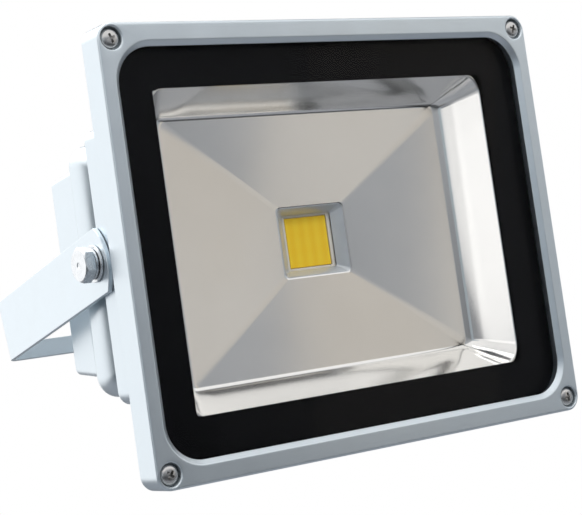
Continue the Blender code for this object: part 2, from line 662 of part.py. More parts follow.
def make_emitter():
    frame_half = PHOSPHOR_SIZE / 2 + GAP + EMITTER_FRAME_WIDTH
    frame_back = EMITTER_FRONT + EMITTER_FRAME_THICKNESS
    frame = slab("emitter_frame", frame_half, frame_half, EMITTER_FRONT, frame_back, 0.0,
                 WHITE_CERAMIC)
    inside = slab("emitter_frame_hole", PHOSPHOR_SIZE / 2 + GAP, PHOSPHOR_SIZE / 2 + GAP,
                  EMITTER_FRONT - OVERSHOOT, frame_back + OVERSHOOT, 0.0)
    cut(frame, inside)
    slab("phosphor", PHOSPHOR_SIZE / 2, PHOSPHOR_SIZE / 2, EMITTER_FRONT + PHOSPHOR_RECESS,
         frame_back, 0.0, PHOSPHOR)
    plate_back = LED_PLATE_FRONT + LED_PLATE_THICKNESS
    plate = slab("led_plate", LED_PLATE_WIDTH / 2, LED_PLATE_HEIGHT / 2, LED_PLATE_FRONT,
                 plate_back, LED_PLATE_CORNER, COPPER_PLATE, corner_segments=2)
    pad = slab("thermal_pad", LED_PLATE_WIDTH / 2 - THERMAL_PAD_MARGIN,
               LED_PLATE_HEIGHT / 2 - THERMAL_PAD_MARGIN, PAD_FRONT,
               PAD_FRONT + THERMAL_PAD_THICKNESS, LED_PLATE_CORNER, GREY_PAD, corner_segments=2)
    places = corners(LED_PLATE_WIDTH / 2 - LED_SCREW_INSET, LED_PLATE_HEIGHT / 2 - LED_SCREW_INSET)
    for index, (x, z) in enumerate(places, 1):
        hole = rod(f"led_plate_hole_{index}", SMALL_SCREW_THREAD / 2 + GAP,
                   FLOOR_FRONT - LED_PLATE_FRONT + 2 * OVERSHOOT, sides=12)
        place(hole, x, LED_PLATE_FRONT - OVERSHOOT, z, AXIS_BACK)
        cut(plate, hole)
        cut(pad, hole)
        screw(f"led_screw_{index}", SMALL_SCREW_HEAD, SMALL_SCREW_HEAD_HEIGHT, SMALL_SCREW_THREAD,
              LED_SCREW_LENGTH, x, LED_PLATE_FRONT - GAP, z, AXIS_FRONT, recess=False)


def fin_places():
    count = round(FIN_SPREAD / FIN_PITCH) + 1
    return [(index - (count - 1) / 2) * FIN_PITCH for index in range(count)]


def make_fin(name, x, side):
    """One fin above (side 1) or below (side -1) the driver box, its rear corner cut off."""
    root = BOX_HEIGHT / 2 - BOX_TAPER_Z - REAR_DROP - SINK
    tip = CAVITY_Z + HOUSING_WALL - TUB_TAPER
    front = FLOOR_FRONT + SINK
    back = FLOOR_BACK + FIN_DEPTH
    bm = box_mesh(FIN_THICKNESS, back - front, tip - root)
    outer = [edge for edge in bm.edges
             if all(vert.co.y > 0 and vert.co.z * side > 0 for vert in edge.verts)]
    round_edges(bm, outer, FIN_CUT, 1)
    fin = finish(name, bm)
    return place(fin, x, (front + back) / 2, side * (root + tip) / 2)


def make_housing():
    draft = (TUB_TAPER, TUB_TAPER)
    housing = slab("housing", CAVITY_X + HOUSING_WALL, CAVITY_Z + HOUSING_WALL,
                   LEDGE_DEPTH, FLOOR_BACK, CAVITY_CORNER + HOUSING_WALL, SILVER_PAINT,
                   taper=draft)
    rim = slab("housing_rim", RIM_X, RIM_Z, RIM_FRONT, FLANGE_FRONT + SINK, RIM_CORNER,
               corner_segments=6)
    flange = slab("housing_flange", LUG_SPAN / 2, BEZEL_HEIGHT / 2 - FLANGE_INSET_TOP,
                  FLANGE_FRONT, FLANGE_BACK, FLANGE_CORNER)
    lug = slab("housing_lug", LUG_SPAN / 2, LUG_HEIGHT / 2, FLANGE_BACK - SINK, LUG_BACK,
               LUG_CORNER, back_edge=(LUG_EDGE, 1), frame=REAR)
    neck = slab("housing_neck", NECK_SPAN / 2, NECK_HEIGHT / 2, LUG_BACK - SINK,
                RIDGE_FRONT + RIDGE_DEPTH / 2, LUG_CORNER, frame=REAR)
    ridge = slab("housing_ridge", RIDGE_SPAN / 2, RIDGE_HEIGHT / 2, RIDGE_FRONT, RIDGE_BACK,
                 RIDGE_CORNER, front_edge=(RIDGE_FRONT_ROUNDING, 4),
                 back_edge=(RIDGE_BACK_ROUNDING, 3), frame=REAR)
    box = slab("driver_box", BOX_SPAN / 2, BOX_HEIGHT / 2, FLOOR_FRONT, BOX_BACK, BOX_CORNER,
               corner_segments=3, back_edge=(BOX_EDGE, 2), taper=(BOX_TAPER_X, BOX_TAPER_Z),
               frame=REAR)
    join(housing, rim, flange, lug, neck, ridge, box)

    for side, name in ((1, "right"), (-1, "left")):
        boss = rod(f"pivot_boss_{name}", PIVOT_BOSS_DIAMETER / 2, LUG_SPAN / 2 - CAVITY_X + SINK,
                   sides=24)
        place(boss, side * (CAVITY_X - SINK), PIVOT_DEPTH, 0.0, (0.0, side * math.pi / 2, 0.0))
        join(housing, boss)
    for side, name in ((1, "top"), (-1, "bottom")):
        for index, x in enumerate(fin_places(), 1):
            if side > 0 or abs(x) > GLAND_CLEARING:
                join(housing, make_fin(f"fin_{name}_{index}", x, side))
    gland_boss = rod("gland_boss", GLAND_BOSS_DIAMETER / 2, -GLAND_SEAT - DRIVER_Z - SINK, sides=24)
    place(gland_boss, 0.0, GLAND_DEPTH, -DRIVER_Z - SINK, AXIS_DOWN, REAR)
    join(housing, gland_boss)

    recess = slab("reflector_recess", RECESS_X, RECESS_Z, RIM_FRONT - OVERSHOOT, LEDGE_DEPTH,
                  RECESS_CORNER)
    cavity = slab("light_chamber", CAVITY_X, CAVITY_Z, LEDGE_DEPTH - OVERSHOOT / 2, FLOOR_FRONT,
                  CAVITY_CORNER, taper=draft)
    driver_room = slab("driver_room", DRIVER_X, DRIVER_Z, FLOOR_BACK, BOX_BACK + OVERSHOOT,
                       COVER_CORNER, frame=REAR)
    lid_recess = slab("lid_recess", LID_X, LID_Z, COVER_LEDGE_DEPTH, BOX_BACK + OVERSHOOT,
                      COVER_CORNER, frame=REAR)
    cut(housing, recess, cavity, driver_room)

    for index, (x, z) in enumerate(corners(POST_X, POST_Z), 1):
        post = rod(f"cover_post_{index}", POST_DIAMETER / 2,
                   COVER_LEDGE_DEPTH + OVERSHOOT / 2 - FLOOR_BACK + SINK, sides=16)
        join(housing, place(post, x, FLOOR_BACK - SINK, z, AXIS_BACK, REAR))
    cut(housing, lid_recess)
    for index, (x, z) in enumerate(board_holes(), 1):
        standoff = rod(f"standoff_{index}", STANDOFF_DIAMETER / 2, STANDOFF_HEIGHT + SINK, sides=12)
        join(housing, place(standoff, x, FLOOR_BACK - SINK, z, AXIS_BACK, REAR))
    earth_boss = rod("earth_boss", EARTH_BOSS_DIAMETER / 2, EARTH_BOSS_HEIGHT + SINK, sides=16)
    join(housing, place(earth_boss, EARTH_BOSS_X, FLOOR_BACK - SINK, EARTH_BOSS_Z, AXIS_BACK,
                        REAR))
    drill_housing(housing)


def drill(target, name, radius, x, depth, z, length, rotation, sides=16, frame=HEAD):
    hole = rod(name, radius, length, sides=sides)
    place(hole, x, depth, z, rotation, frame)
    cut(target, hole)


def drill_housing(housing):
    """Every screw hole of the casting, then the lead hole, the pivot holes and the gland hole."""
    tapped = CASE_SCREW_THREAD / 2 + GAP
    small = SMALL_SCREW_THREAD / 2 + GAP
    for index, (x, z) in enumerate(corners(BEZEL_SCREW_X, BEZEL_SCREW_Z), 1):
        drill(housing, f"flange_hole_{index}", tapped, x, FLANGE_FRONT - OVERSHOOT, z,
              FLANGE_THICKNESS + 2 * OVERSHOOT, AXIS_BACK)
    places = corners(LED_PLATE_WIDTH / 2 - LED_SCREW_INSET, LED_PLATE_HEIGHT / 2 - LED_SCREW_INSET)
    reach = LED_PLATE_FRONT - GAP + LED_SCREW_LENGTH + GAP
    for index, (x, z) in enumerate(places, 1):
        drill(housing, f"led_tapped_hole_{index}", small, x, FLOOR_FRONT - OVERSHOOT, z,
              reach - FLOOR_FRONT + OVERSHOOT, AXIS_BACK)
    for index, (x, z) in enumerate(corners(POST_X, POST_Z), 1):
        reach = COVER_SCREW_LENGTH - COVER_THICKNESS + OVERSHOOT
        drill(housing, f"cover_tapped_hole_{index}", tapped, x, COVER_FRONT + OVERSHOOT, z,
              reach + OVERSHOOT, AXIS_FRONT, frame=REAR)
    for index, (x, z) in enumerate(board_holes(), 1):
        drill(housing, f"board_tapped_hole_{index}", small, x, BOARD_FRONT + OVERSHOOT, z,
              BOARD_SCREW_LENGTH - BOARD_THICKNESS + 2 * OVERSHOOT, AXIS_FRONT, frame=REAR)
    earth_top = FLOOR_BACK + EARTH_BOSS_HEIGHT
    drill(housing, "earth_tapped_hole", tapped, EARTH_BOSS_X, earth_top + OVERSHOOT, EARTH_BOSS_Z,
          EARTH_SCREW_LENGTH + 2 * GAP + OVERSHOOT, AXIS_FRONT, frame=REAR)
    drill(housing, "lead_hole", LEAD_HOLE_DIAMETER / 2, LEAD_HOLE_X, FLOOR_FRONT - OVERSHOOT, 0.0,
          HOUSING_FLOOR + 2 * OVERSHOOT, AXIS_BACK)
    depth = LUG_SPAN / 2 - (BOLT_HEAD_X - BOLT_LENGTH) + OVERSHOOT
    for side, name in ((1, "right"), (-1, "left")):
        drill(housing, f"pivot_tapped_hole_{name}", BOLT_THREAD / 2 + GAP,
              side * (LUG_SPAN / 2 + OVERSHOOT), PIVOT_DEPTH, 0.0, depth + OVERSHOOT / 2,
              (0.0, -side * math.pi / 2, 0.0), sides=20)
    drill(housing, "gland_hole", GLAND_THREAD / 2 + GAP, 0.0, GLAND_DEPTH, GLAND_SEAT - OVERSHOOT,
          -GLAND_SEAT - DRIVER_Z + 2 * OVERSHOOT, (0.0, 0.0, 0.0), sides=24, frame=REAR)


def make_cover():
    cover = slab("rear_cover", LID_X - GAP, LID_Z - GAP, COVER_FRONT, COVER_BACK,
                 COVER_CORNER - GAP, SILVER_PAINT, frame=REAR)
    panel = slab("cover_panel", LID_X - COVER_PANEL_INSET, LID_Z - COVER_PANEL_INSET,
                 COVER_BACK - SINK, COVER_BACK + COVER_PANEL_RISE, COVER_CORNER,
                 back_edge=(COVER_PANEL_RISE / 2, 1), frame=REAR)
    join(cover, panel)
    gasket_back = COVER_GASKET_FRONT + COVER_GASKET_THICKNESS
    gasket = slab("cover_gasket", LID_X - GAP, LID_Z - GAP, COVER_GASKET_FRONT, gasket_back,
                  COVER_CORNER - GAP, BLACK_SILICONE, frame=REAR)
    inside = slab("cover_gasket_hole", DRIVER_X, DRIVER_Z, COVER_GASKET_FRONT - OVERSHOOT,
                  gasket_back + OVERSHOOT, COVER_CORNER, frame=REAR)
    cut(gasket, inside)
    for index, (x, z) in enumerate(corners(POST_X, POST_Z), 1):
        hole = rod(f"cover_hole_{index}", CASE_SCREW_THREAD / 2 + GAP,
                   COVER_THICKNESS + 2 * OVERSHOOT, sides=12)
        place(hole, x, COVER_FRONT - OVERSHOOT, z, AXIS_BACK, REAR)
        cut(cover, hole)
        screw(f"cover_screw_{index}", CASE_SCREW_HEAD, CASE_SCREW_HEAD_HEIGHT, CASE_SCREW_THREAD,
              COVER_SCREW_LENGTH, x, COVER_BACK + GAP, z, AXIS_BACK, frame=REAR)


def make_gland():
    """Cable gland under the driver box. Heights run down from the boss face."""
    seat = GLAND_SEAT - GAP
    wall = -GLAND_SEAT - DRIVER_Z
    lock_top = wall + GAP + LOCK_NUT_HEIGHT
    neck_end = GLAND_HEX_HEIGHT + GLAND_NECK_LENGTH
    seal_seat = neck_end - GLAND_SEAL_LENGTH
    thread_top = -(lock_top + LOCK_NUT_GRIP)
    seal_bore = GLAND_SEAL_DIAMETER / 2 + GAP
    body = turned("gland_body", [
        (0.0, neck_end), (GLAND_NECK / 2, neck_end), (GLAND_NECK / 2, GLAND_HEX_HEIGHT - SINK),
        (GLAND_THREAD / 2, GLAND_HEX_HEIGHT - SINK), (GLAND_THREAD / 2, thread_top),
        (0.0, thread_top)], BLACK_NYLON, steps=24)
    place(body, 0.0, GLAND_DEPTH, seat, AXIS_DOWN, REAR)
    collar = hexagon("gland_hex", GLAND_HEX, GLAND_HEX_HEIGHT, turn=HEX_FLAT_BACK)
    place(collar, 0.0, GLAND_DEPTH, seat, AXIS_DOWN, REAR)
    bore = turned("gland_bore", [
        (0.0, neck_end + OVERSHOOT), (seal_bore, neck_end + OVERSHOOT), (seal_bore, seal_seat),
        (GLAND_BORE / 2, seal_seat), (GLAND_BORE / 2, thread_top - OVERSHOOT),
        (0.0, thread_top - OVERSHOOT)], steps=20)
    place(bore, 0.0, GLAND_DEPTH, seat, AXIS_DOWN, REAR)
    join(body, collar)
    cut(body, bore)

    seal = turned("gland_seal", [
        (GLAND_SEAL_BORE / 2, neck_end + GAP), (GLAND_SEAL_DIAMETER / 2, neck_end + GAP),
        (GLAND_SEAL_DIAMETER / 2, seal_seat + GAP), (GLAND_SEAL_BORE / 2, seal_seat + GAP)],
        BLACK_SILICONE, steps=16)
    place(seal, 0.0, GLAND_DEPTH, seat, AXIS_DOWN, REAR)

    start = GLAND_HEX_HEIGHT + GAP
    inner = GLAND_NECK / 2 + GAP
    shoulder = neck_end + 2 * GAP
    end = shoulder + GLAND_NUT_WALL
    nut = turned("gland_nut", [
        (inner, start), (inner, shoulder), (GLAND_SEAL_BORE / 2, shoulder),
        (GLAND_SEAL_BORE / 2, end), (GLAND_NUT_NOSE, end), (GLAND_NUT_SHOULDER, shoulder),
        (GLAND_NUT_CORNER, shoulder - GLAND_NUT_WALL), (GLAND_NUT_CORNER, start)], BLACK_NYLON,
        steps=24)
    place(nut, 0.0, GLAND_DEPTH, seat, AXIS_DOWN, REAR)
    flats = hexagon("gland_nut_flats", GLAND_NUT_HEX, end - start + 2 * OVERSHOOT,
                    turn=HEX_FLAT_BACK)
    place(flats, 0.0, GLAND_DEPTH, seat - start + OVERSHOOT, AXIS_DOWN, REAR)
    boolean(nut, flats, "INTERSECT")

    lock = hexagon("gland_lock_nut", LOCK_NUT_HEX, LOCK_NUT_HEIGHT, BRASS, HEX_FLAT_BACK)
    place(lock, 0.0, GLAND_DEPTH, -DRIVER_Z + GAP, frame=REAR)
    thread = rod("lock_nut_thread", GLAND_THREAD / 2 + GAP, LOCK_NUT_HEIGHT + 2 * OVERSHOOT,
                 sides=24)
    place(thread, 0.0, GLAND_DEPTH, -DRIVER_Z + GAP - OVERSHOOT, frame=REAR)
    cut(lock, thread)


def board_holes():
    return corners(BOARD_WIDTH / 2 - BOARD_SCREW_INSET, BOARD_HEIGHT / 2 - BOARD_SCREW_INSET)


def component(name, block, material, corner=0.0):
    """A block that stands on the circuit board: x, z, width, height and stand."""
    x, z, width, height, stand = block
    return slab(name, width / 2, height / 2, BOARD_TOP, BOARD_TOP + stand, corner, material,
                corner_segments=2, at=(x, z), frame=REAR)


def upright_can(name, can, material):
    x, z, diameter, height = can
    radius = diameter / 2
    profile = [(0.0, height), (radius - CAN_ROUNDING, height), (radius, height - CAN_ROUNDING),
               (radius, 0.0), (0.0, 0.0)]
    return place(turned(name, profile, material, steps=16), x, BOARD_TOP, z, AXIS_BACK, REAR)


def make_driver():
    board = slab("driver_board", BOARD_WIDTH / 2, BOARD_HEIGHT / 2, BOARD_FRONT, BOARD_BACK, 0.0,
                 GREEN_BOARD, frame=REAR)
    for index, (x, z) in enumerate(board_holes(), 1):
        hole = rod(f"board_hole_{index}", SMALL_SCREW_THREAD / 2 + GAP,
                   BOARD_THICKNESS + 2 * OVERSHOOT, sides=12)
        place(hole, x, BOARD_FRONT - OVERSHOOT, z, AXIS_BACK, REAR)
        cut(board, hole)
        screw(f"board_screw_{index}", SMALL_SCREW_HEAD, SMALL_SCREW_HEAD_HEIGHT,
              SMALL_SCREW_THREAD, BOARD_SCREW_LENGTH, x, BOARD_TOP, z, AXIS_BACK,
              recess=False, frame=REAR)

    width, height, stand = CORE_SIZE
    core = component("transformer_core", (TRANSFORMER_X, 0.0, width, height, stand), FERRITE)
    window_x = width / 2 - CORE_LEG
    window_front = BOARD_TOP + CORE_LEG
    window_back = BOARD_TOP + stand - CORE_LEG
    window = slab("core_window", window_x, height / 2 + OVERSHOOT, window_front, window_back, 0.0,
                  at=(TRANSFORMER_X, 0.0), frame=REAR)
    cut(core, window)
    slab("transformer_winding", window_x - GAP, height / 2 + WINDING_BULGE, window_front + GAP,
         window_back - GAP, WINDING_CORNER, YELLOW_TAPE, corner_segments=2,
         at=(TRANSFORMER_X, 0.0), frame=REAR)

    upright_can("input_capacitor", INPUT_CAN, BLACK_SLEEVE)
    upright_can("output_capacitor", OUTPUT_CAN, BLACK_SLEEVE)
    choke = turned("input_choke", ring_profile(*CHOKE_RADII, CHOKE_HEIGHT), YELLOW_TAPE, steps=16)
    place(choke, CHOKE_PLACE[0], BOARD_TOP, CHOKE_PLACE[1], AXIS_BACK, REAR)
    component("film_capacitor", FILM_BLOCK, ORANGE_FILM, FILM_CORNER)
    component("rectifier", RECTIFIER_BLOCK, BLACK_SLEEVE)
    component("heat_plate", HEAT_PLATE_BLOCK, BRIGHT_ALUMINIUM)
    component("terminal_block", TERMINAL_BLOCK, GREEN_BLOCK, TERMINAL_CORNER)
    width, height, stand = TRANSISTOR_SIZE
    beside_plate = HEAT_PLATE_BLOCK[0] + HEAT_PLATE_BLOCK[2] / 2 + GAP + width / 2
    slab("switching_transistor", width / 2, height / 2, BOARD_TOP + TRANSISTOR_LIFT,
         BOARD_TOP + TRANSISTOR_LIFT + stand, 0.0, BLACK_SLEEVE,
         at=(beside_plate, TRANSISTOR_Z), frame=REAR)

    earth_top = FLOOR_BACK + EARTH_BOSS_HEIGHT
    screw("earth_screw", CASE_SCREW_HEAD, CASE_SCREW_HEAD_HEIGHT, CASE_SCREW_THREAD,
          EARTH_SCREW_LENGTH, EARTH_BOSS_X, earth_top + GAP, EARTH_BOSS_Z, AXIS_BACK, frame=REAR)


def make_leads():
    """Two leads from pads on the LED plate, through the floor, to the foot of the board."""
    solder = LED_PLATE_FRONT - GAP - LEAD_DIAMETER / 2
    pad_x = LED_PLATE_WIDTH / 2 - LEAD_PAD_INSET
    end = BOARD_FRONT - GAP
    for name, side, material in (("lead_positive", 1, RED_SLEEVE),
                                 ("lead_negative", -1, BLACK_SLEEVE)):
        z = side * LEAD_SPACING / 2
        tube(name, [(pad_x, solder, side * LEAD_PAD_Z),
                    (pad_x + LEAD_RUN, solder, side * (LEAD_PAD_Z - LEAD_RUN_DROP)),
                    (LEAD_HOLE_X - LEAD_TURN, solder, side * LEAD_SPACING),
                    (LEAD_HOLE_X, solder + LEAD_DIP, z), (LEAD_HOLE_X, end, z)],
             LEAD_DIAMETER, material)


def world_slab(name, size, centre, material=None):
    bm = box_mesh(*size)
    obj = finish(name, bm, material)
    obj.location = centre
    return obj


def strip_path():
    """The strip's outer line in plan: up the left arm, along the crossbar, down the right arm."""
    tip = -REACH - TIP_REACH
    half = BRACKET_OUTER_X
    points = [(-half, tip)]
    for index in range(5):
        angle = math.pi - math.pi / 2 * index / 4
        points.append((-half + BEND_RADIUS * (1 + math.cos(angle)),
                       -BEND_RADIUS * (1 - math.sin(angle))))
    return points + [(-x, y) for x, y in reversed(points)]


def make_bracket():
    """A flat strip bent twice: an open ribbon given its thickness by Solidify."""
    bm = bmesh.new()
    lower = [bm.verts.new((x, y, -STRIP_WIDTH / 2)) for x, y in strip_path()]
    edges = [bm.edges.new(pair) for pair in zip(lower, lower[1:])]
    raised = bmesh.ops.extrude_edge_only(bm, edges=edges)["geom"]
    bmesh.ops.translate(bm, vec=(0.0, 0.0, STRIP_WIDTH),
                        verts=[item for item in raised if isinstance(item, bmesh.types.BMVert)])
    mesh = bpy.data.meshes.new("u_bracket")
    bm.normal_update()
    # The ribbon thickens inwards, so its faces must point out of the U
    if any(face.normal.y < -0.5 for face in bm.faces):
        bmesh.ops.reverse_faces(bm, faces=bm.faces)
    bm.to_mesh(mesh)
    bm.free()
    mesh.materials.append(SILVER_PAINT)
    bracket = bpy.data.objects.new("u_bracket", mesh)
    PARTS.objects.link(bracket)
    sheet = bracket.modifiers.new("Sheet", "SOLIDIFY")
    sheet.thickness = STRIP_THICKNESS
    sheet.offset = -1.0
    sheet.use_even_offset = True

    # Arm ends: what lies outside a shallow arc is cut away
    end_round = rod("arm_end_arc", TIP_RADIUS, 2 * BRACKET_OUTER_X + 4 * OVERSHOOT, sides=48)
    end_round.rotation_euler = (0.0, math.pi / 2, 0.0)
    end_round.location = (-BRACKET_OUTER_X - 2 * OVERSHOOT, -REACH - TIP_REACH + TIP_RADIUS, 0.0)
    waste = world_slab("arm_end_waste", (2 * BRACKET_OUTER_X + 2 * OVERSHOOT, TIP_RADIUS,
                                         STRIP_WIDTH + 2 * OVERSHOOT),
                       (0.0, -REACH - TIP_REACH - OVERSHOOT + TIP_RADIUS / 2, 0.0))
    cut(waste, end_round)
    cut(bracket, waste)
    for side, name in ((1, "right"), (-1, "left")):
        bolt_hole = rod(f"arm_hole_{name}", BOLT_THREAD / 2 + ARM_HOLE_CLEARANCE,
                        STRIP_THICKNESS + 2 * OVERSHOOT, sides=20)
        bolt_hole.rotation_euler = (0.0, side * math.pi / 2, 0.0)
        bolt_hole.location = (side * (BRACKET_INNER_X - OVERSHOOT), -REACH, 0.0)
        slot = slot_cutter(f"mounting_slot_{name}", side * SLOT_CENTRE)
        cut(bracket, bolt_hole, slot)


def slot_cutter(name, x):
    bm = box_mesh(SLOT_LENGTH, STRIP_THICKNESS + 2 * OVERSHOOT, SLOT_WIDTH)
    round_edges(bm, depth_edges(bm), SLOT_WIDTH / 2 - SLOT_END_FLAT, 4)
    slot = finish(name, bm)
    slot.location = (x, -STRIP_THICKNESS / 2, 0.0)
    return slot


def make_pivot_hardware():
    """Bolt, spring washer and flat washer on each side; they turn with the head."""
    inner = BOLT_THREAD / 2 + GAP
    for side, name in ((1, "right"), (-1, "left")):
        outwards = (0.0, side * math.pi / 2, 0.0)
        washer = turned(f"flat_washer_{name}",
                        ring_profile(inner, WASHER_DIAMETER / 2, WASHER_THICKNESS), ZINC, 24)
        place(washer, side * WASHER_X, PIVOT_DEPTH, 0.0, outwards)
        spring = turned(f"spring_washer_{name}",
                        ring_profile(inner, SPRING_WASHER_DIAMETER / 2, SPRING_WASHER_THICKNESS),
                        ZINC, 24)
        place(spring, side * SPRING_WASHER_X, PIVOT_DEPTH, 0.0, outwards)
        split = world_slab(f"spring_split_{name}",
                           (2 * SPRING_WASHER_THICKNESS + 4 * OVERSHOOT,
                            SPRING_WASHER_DIAMETER, SPRING_WASHER_SPLIT), (0.0, 0.0, 0.0))
        place(split, side * SPRING_WASHER_X, PIVOT_DEPTH + SPRING_WASHER_DIAMETER / 2 + inner / 2,
              0.0)
        cut(spring, split)
        bolt = hexagon(f"pivot_bolt_{name}", BOLT_HEAD_ACROSS_FLATS, BOLT_HEAD_HEIGHT, ZINC,
                       -side * BOLT_TURN)
        place(bolt, side * BOLT_HEAD_X, PIVOT_DEPTH, 0.0, outwards)
        shank = rod(f"bolt_shank_{name}", BOLT_THREAD / 2, BOLT_LENGTH + SINK, sides=20)
        place(shank, side * (BOLT_HEAD_X + SINK), PIVOT_DEPTH, 0.0, (0.0, -side * math.pi / 2, 0.0))
        join(bolt, shank)


make_bezel()
make_pane()
make_reflector()
make_emitter()
make_housing()
make_cover()
make_gland()
make_driver()
make_leads()
make_bracket()
make_pivot_hardware()
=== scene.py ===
import json
import math

import bmesh
import bpy
from mathutils import Matrix, Vector


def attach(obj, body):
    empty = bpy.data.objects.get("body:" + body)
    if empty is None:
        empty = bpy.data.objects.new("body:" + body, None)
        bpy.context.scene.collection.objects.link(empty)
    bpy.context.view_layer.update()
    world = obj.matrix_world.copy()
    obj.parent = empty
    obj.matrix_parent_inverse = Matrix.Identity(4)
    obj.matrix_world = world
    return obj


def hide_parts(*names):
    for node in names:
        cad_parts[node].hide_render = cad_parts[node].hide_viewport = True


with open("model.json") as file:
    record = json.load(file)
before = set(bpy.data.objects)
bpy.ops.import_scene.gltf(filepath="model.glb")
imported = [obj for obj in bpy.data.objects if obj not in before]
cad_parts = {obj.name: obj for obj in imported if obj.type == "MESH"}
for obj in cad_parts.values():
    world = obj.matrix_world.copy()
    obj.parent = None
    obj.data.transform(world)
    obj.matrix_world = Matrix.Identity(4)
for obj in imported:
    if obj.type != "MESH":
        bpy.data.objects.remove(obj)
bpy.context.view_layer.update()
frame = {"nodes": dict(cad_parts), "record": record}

print("floodlight: frame loaded,", len(frame["nodes"]), "solids")

# Sizes below are millimetres, in the head's own directions: x across, depth back from the
# bezel's front face, z up the bezel. headPose turns and carries them to the lamp's place.

mm = 0.001
gap = 0.3                         # between pieces that touch
leastCorner = 0.02                # a square corner still has a ring of points
pivot = {"reach": 100.0323, "depth": 28.3, "tilt": 12.3}
headPose = (Matrix.Translation((0, -pivot["reach"] * mm, 0))
            @ Matrix.Rotation(math.radians(pivot["tilt"]), 4, "X")
            @ Matrix.Translation((0, -pivot["depth"] * mm, 0)))
rearPose = headPose @ Matrix.Translation((0, 0, -2 * mm))  # lugs, ridge and driver box, 2 mm low
wallPose = Matrix.Identity(4)


# Camera, lamps and stage

cameraSettings = {
    "place": (-0.422066867, -0.669688523, -0.157678128),
    "right": (0.82114577, -0.51071328, -0.25473818),
    "down": (-0.08574343, 0.33088413, -0.93976796),
    "forward": (0.56424075, 0.79352862, 0.22791380),
    "lens": 101.951088,
    "shift": (0.009948225, -0.047726028),
}


def placeCamera(settings):
    data = bpy.data.cameras.new("photoCamera")
    data.sensor_width = 36
    data.lens = settings["lens"]
    data.shift_x, data.shift_y = settings["shift"]
    camera = bpy.data.objects.new("photoCamera", data)
    right, down, forward = (Vector(settings[key]) for key in ("right", "down", "forward"))
    turn = Matrix((right, -down, -forward)).transposed()
    camera.matrix_world = Matrix.Translation(settings["place"]) @ turn.to_4x4()
    bpy.context.scene.collection.objects.link(camera)
    bpy.context.scene.camera = camera
    bpy.context.scene.view_settings.view_transform = "Standard"


placeCamera(cameraSettings)

lampSettings = {  # place, aim, width and height in metres; one that isn't mirrored only lights
    "overhead": {"place": (-0.25, 0.22, 1.4), "aim": (0, -0.1, 0), "size": (2.2, 2.2), "watts": 24},
    "leftPanel": {"place": (-0.7625, 1.074, 0.34), "aim": (0, -0.1, 0), "size": (1.3, 1.35), "watts": 1.7},
    "lowPanel": {"place": (-1.287, -0.281, -0.08), "aim": (0, -0.1, 0), "size": (0.50, 0.6), "watts": 0.4},
    "frontFill": {"place": (0.3, -1.4, 1.1), "aim": (0, -0.1, 0), "size": (0.9, 0.9), "watts": 19,
                  "mirrored": False},
}
worldSettings = {
    "shown": (1.0, 1.0, 1.0),        # the background, also in glass and gloss
    "around": (0.93, 0.965, 1.0),    # the light that it gives
    "strength": 0.52,
}
floorSettings = {  # "even" is the share of plain white that the camera sees on the floor
    "height": -0.42, "size": 8.0, "seen": (0.88, 0.885, 0.89), "bounce": (0.28, 0.29, 0.31),
    "white": (0.93, 0.935, 0.94), "even": 0.7,
}
cardSettings = {  # upright cards round the lamp, for its gloss to show: ends in plan, metres;
    # "low" is the shade at the foot, and "fade" the heights between which it turns
    "greyCard": {"from": (-0.62, -1.0), "to": (0.40, -0.873), "high": 0.15, "colour": (0.62, 0.63, 0.65),
                 "low": (0.24, 0.25, 0.26), "fade": (-0.40, 0.05)},
    "paleCard": {"from": (0.40, -0.873), "to": (0.503, -0.86), "high": 0.15, "colour": (0.58, 0.59, 0.61)},
    "creamCard": {"from": (0.503, -0.86), "to": (0.62, -0.721), "high": 0.15, "colour": (0.86, 0.79, 0.70),
                  "low": (0.98, 0.92, 0.84), "fade": (-0.19, -0.03)},
    "sideCard": {"from": (0.62, -0.721), "to": (1.10, -0.15), "high": 0.15, "colour": (0.66, 0.67, 0.68),
                 "low": (0.50, 0.52, 0.55), "fade": (-0.35, -0.05)},
    "blueCard": {"from": (-1.06, -0.72), "to": (-0.70, -1.10), "high": 0.20, "colour": (0.52, 0.58, 0.62)},
    "darkCard": {"from": (-1.00, -0.17), "to": (-0.87, 0.39), "high": 0.32, "colour": (0.10, 0.13, 0.145)},
}
hangingSettings = {  # dark board over the lamp's right shoulder: the tray and the crossbar mirror it
    "place": (0.623, 0.352, 0.855), "aim": (0.0, -0.1, 0.0), "size": (1.3, 0.75),
    "colour": (0.20, 0.21, 0.22),
}
matSettings = {"corners": ((-0.75, -0.95), (0.95, -0.40)), "lift": 0.004, "colour": (0.08, 0.084, 0.09)}
cardRoughness = 0.9
cardSpecular = 0.1


def blendColours(tree, value, first, second):
    node = tree.nodes.new("ShaderNodeMix")
    node.data_type = "RGBA"
    for socket, colour in ((node.inputs[6], first), (node.inputs[7], second)):
        if isinstance(colour, tuple):
            socket.default_value = (*colour, 1)
        else:
            tree.links.new(colour, socket)
    tree.links.new(value, node.inputs[0])
    return node.outputs[2]


def span(tree, value, low, high, fromLow=0.3, fromHigh=0.7):
    node = tree.nodes.new("ShaderNodeMapRange")
    node.inputs["From Min"].default_value = fromLow
    node.inputs["From Max"].default_value = fromHigh
    node.inputs["To Min"].default_value = low
    node.inputs["To Max"].default_value = high
    tree.links.new(value, node.inputs["Value"])
    return node.outputs["Result"]


def aimAt(place, target):
    turn = (Vector(target) - Vector(place)).to_track_quat("-Z", "Y")
    return Matrix.Translation(place) @ turn.to_matrix().to_4x4()


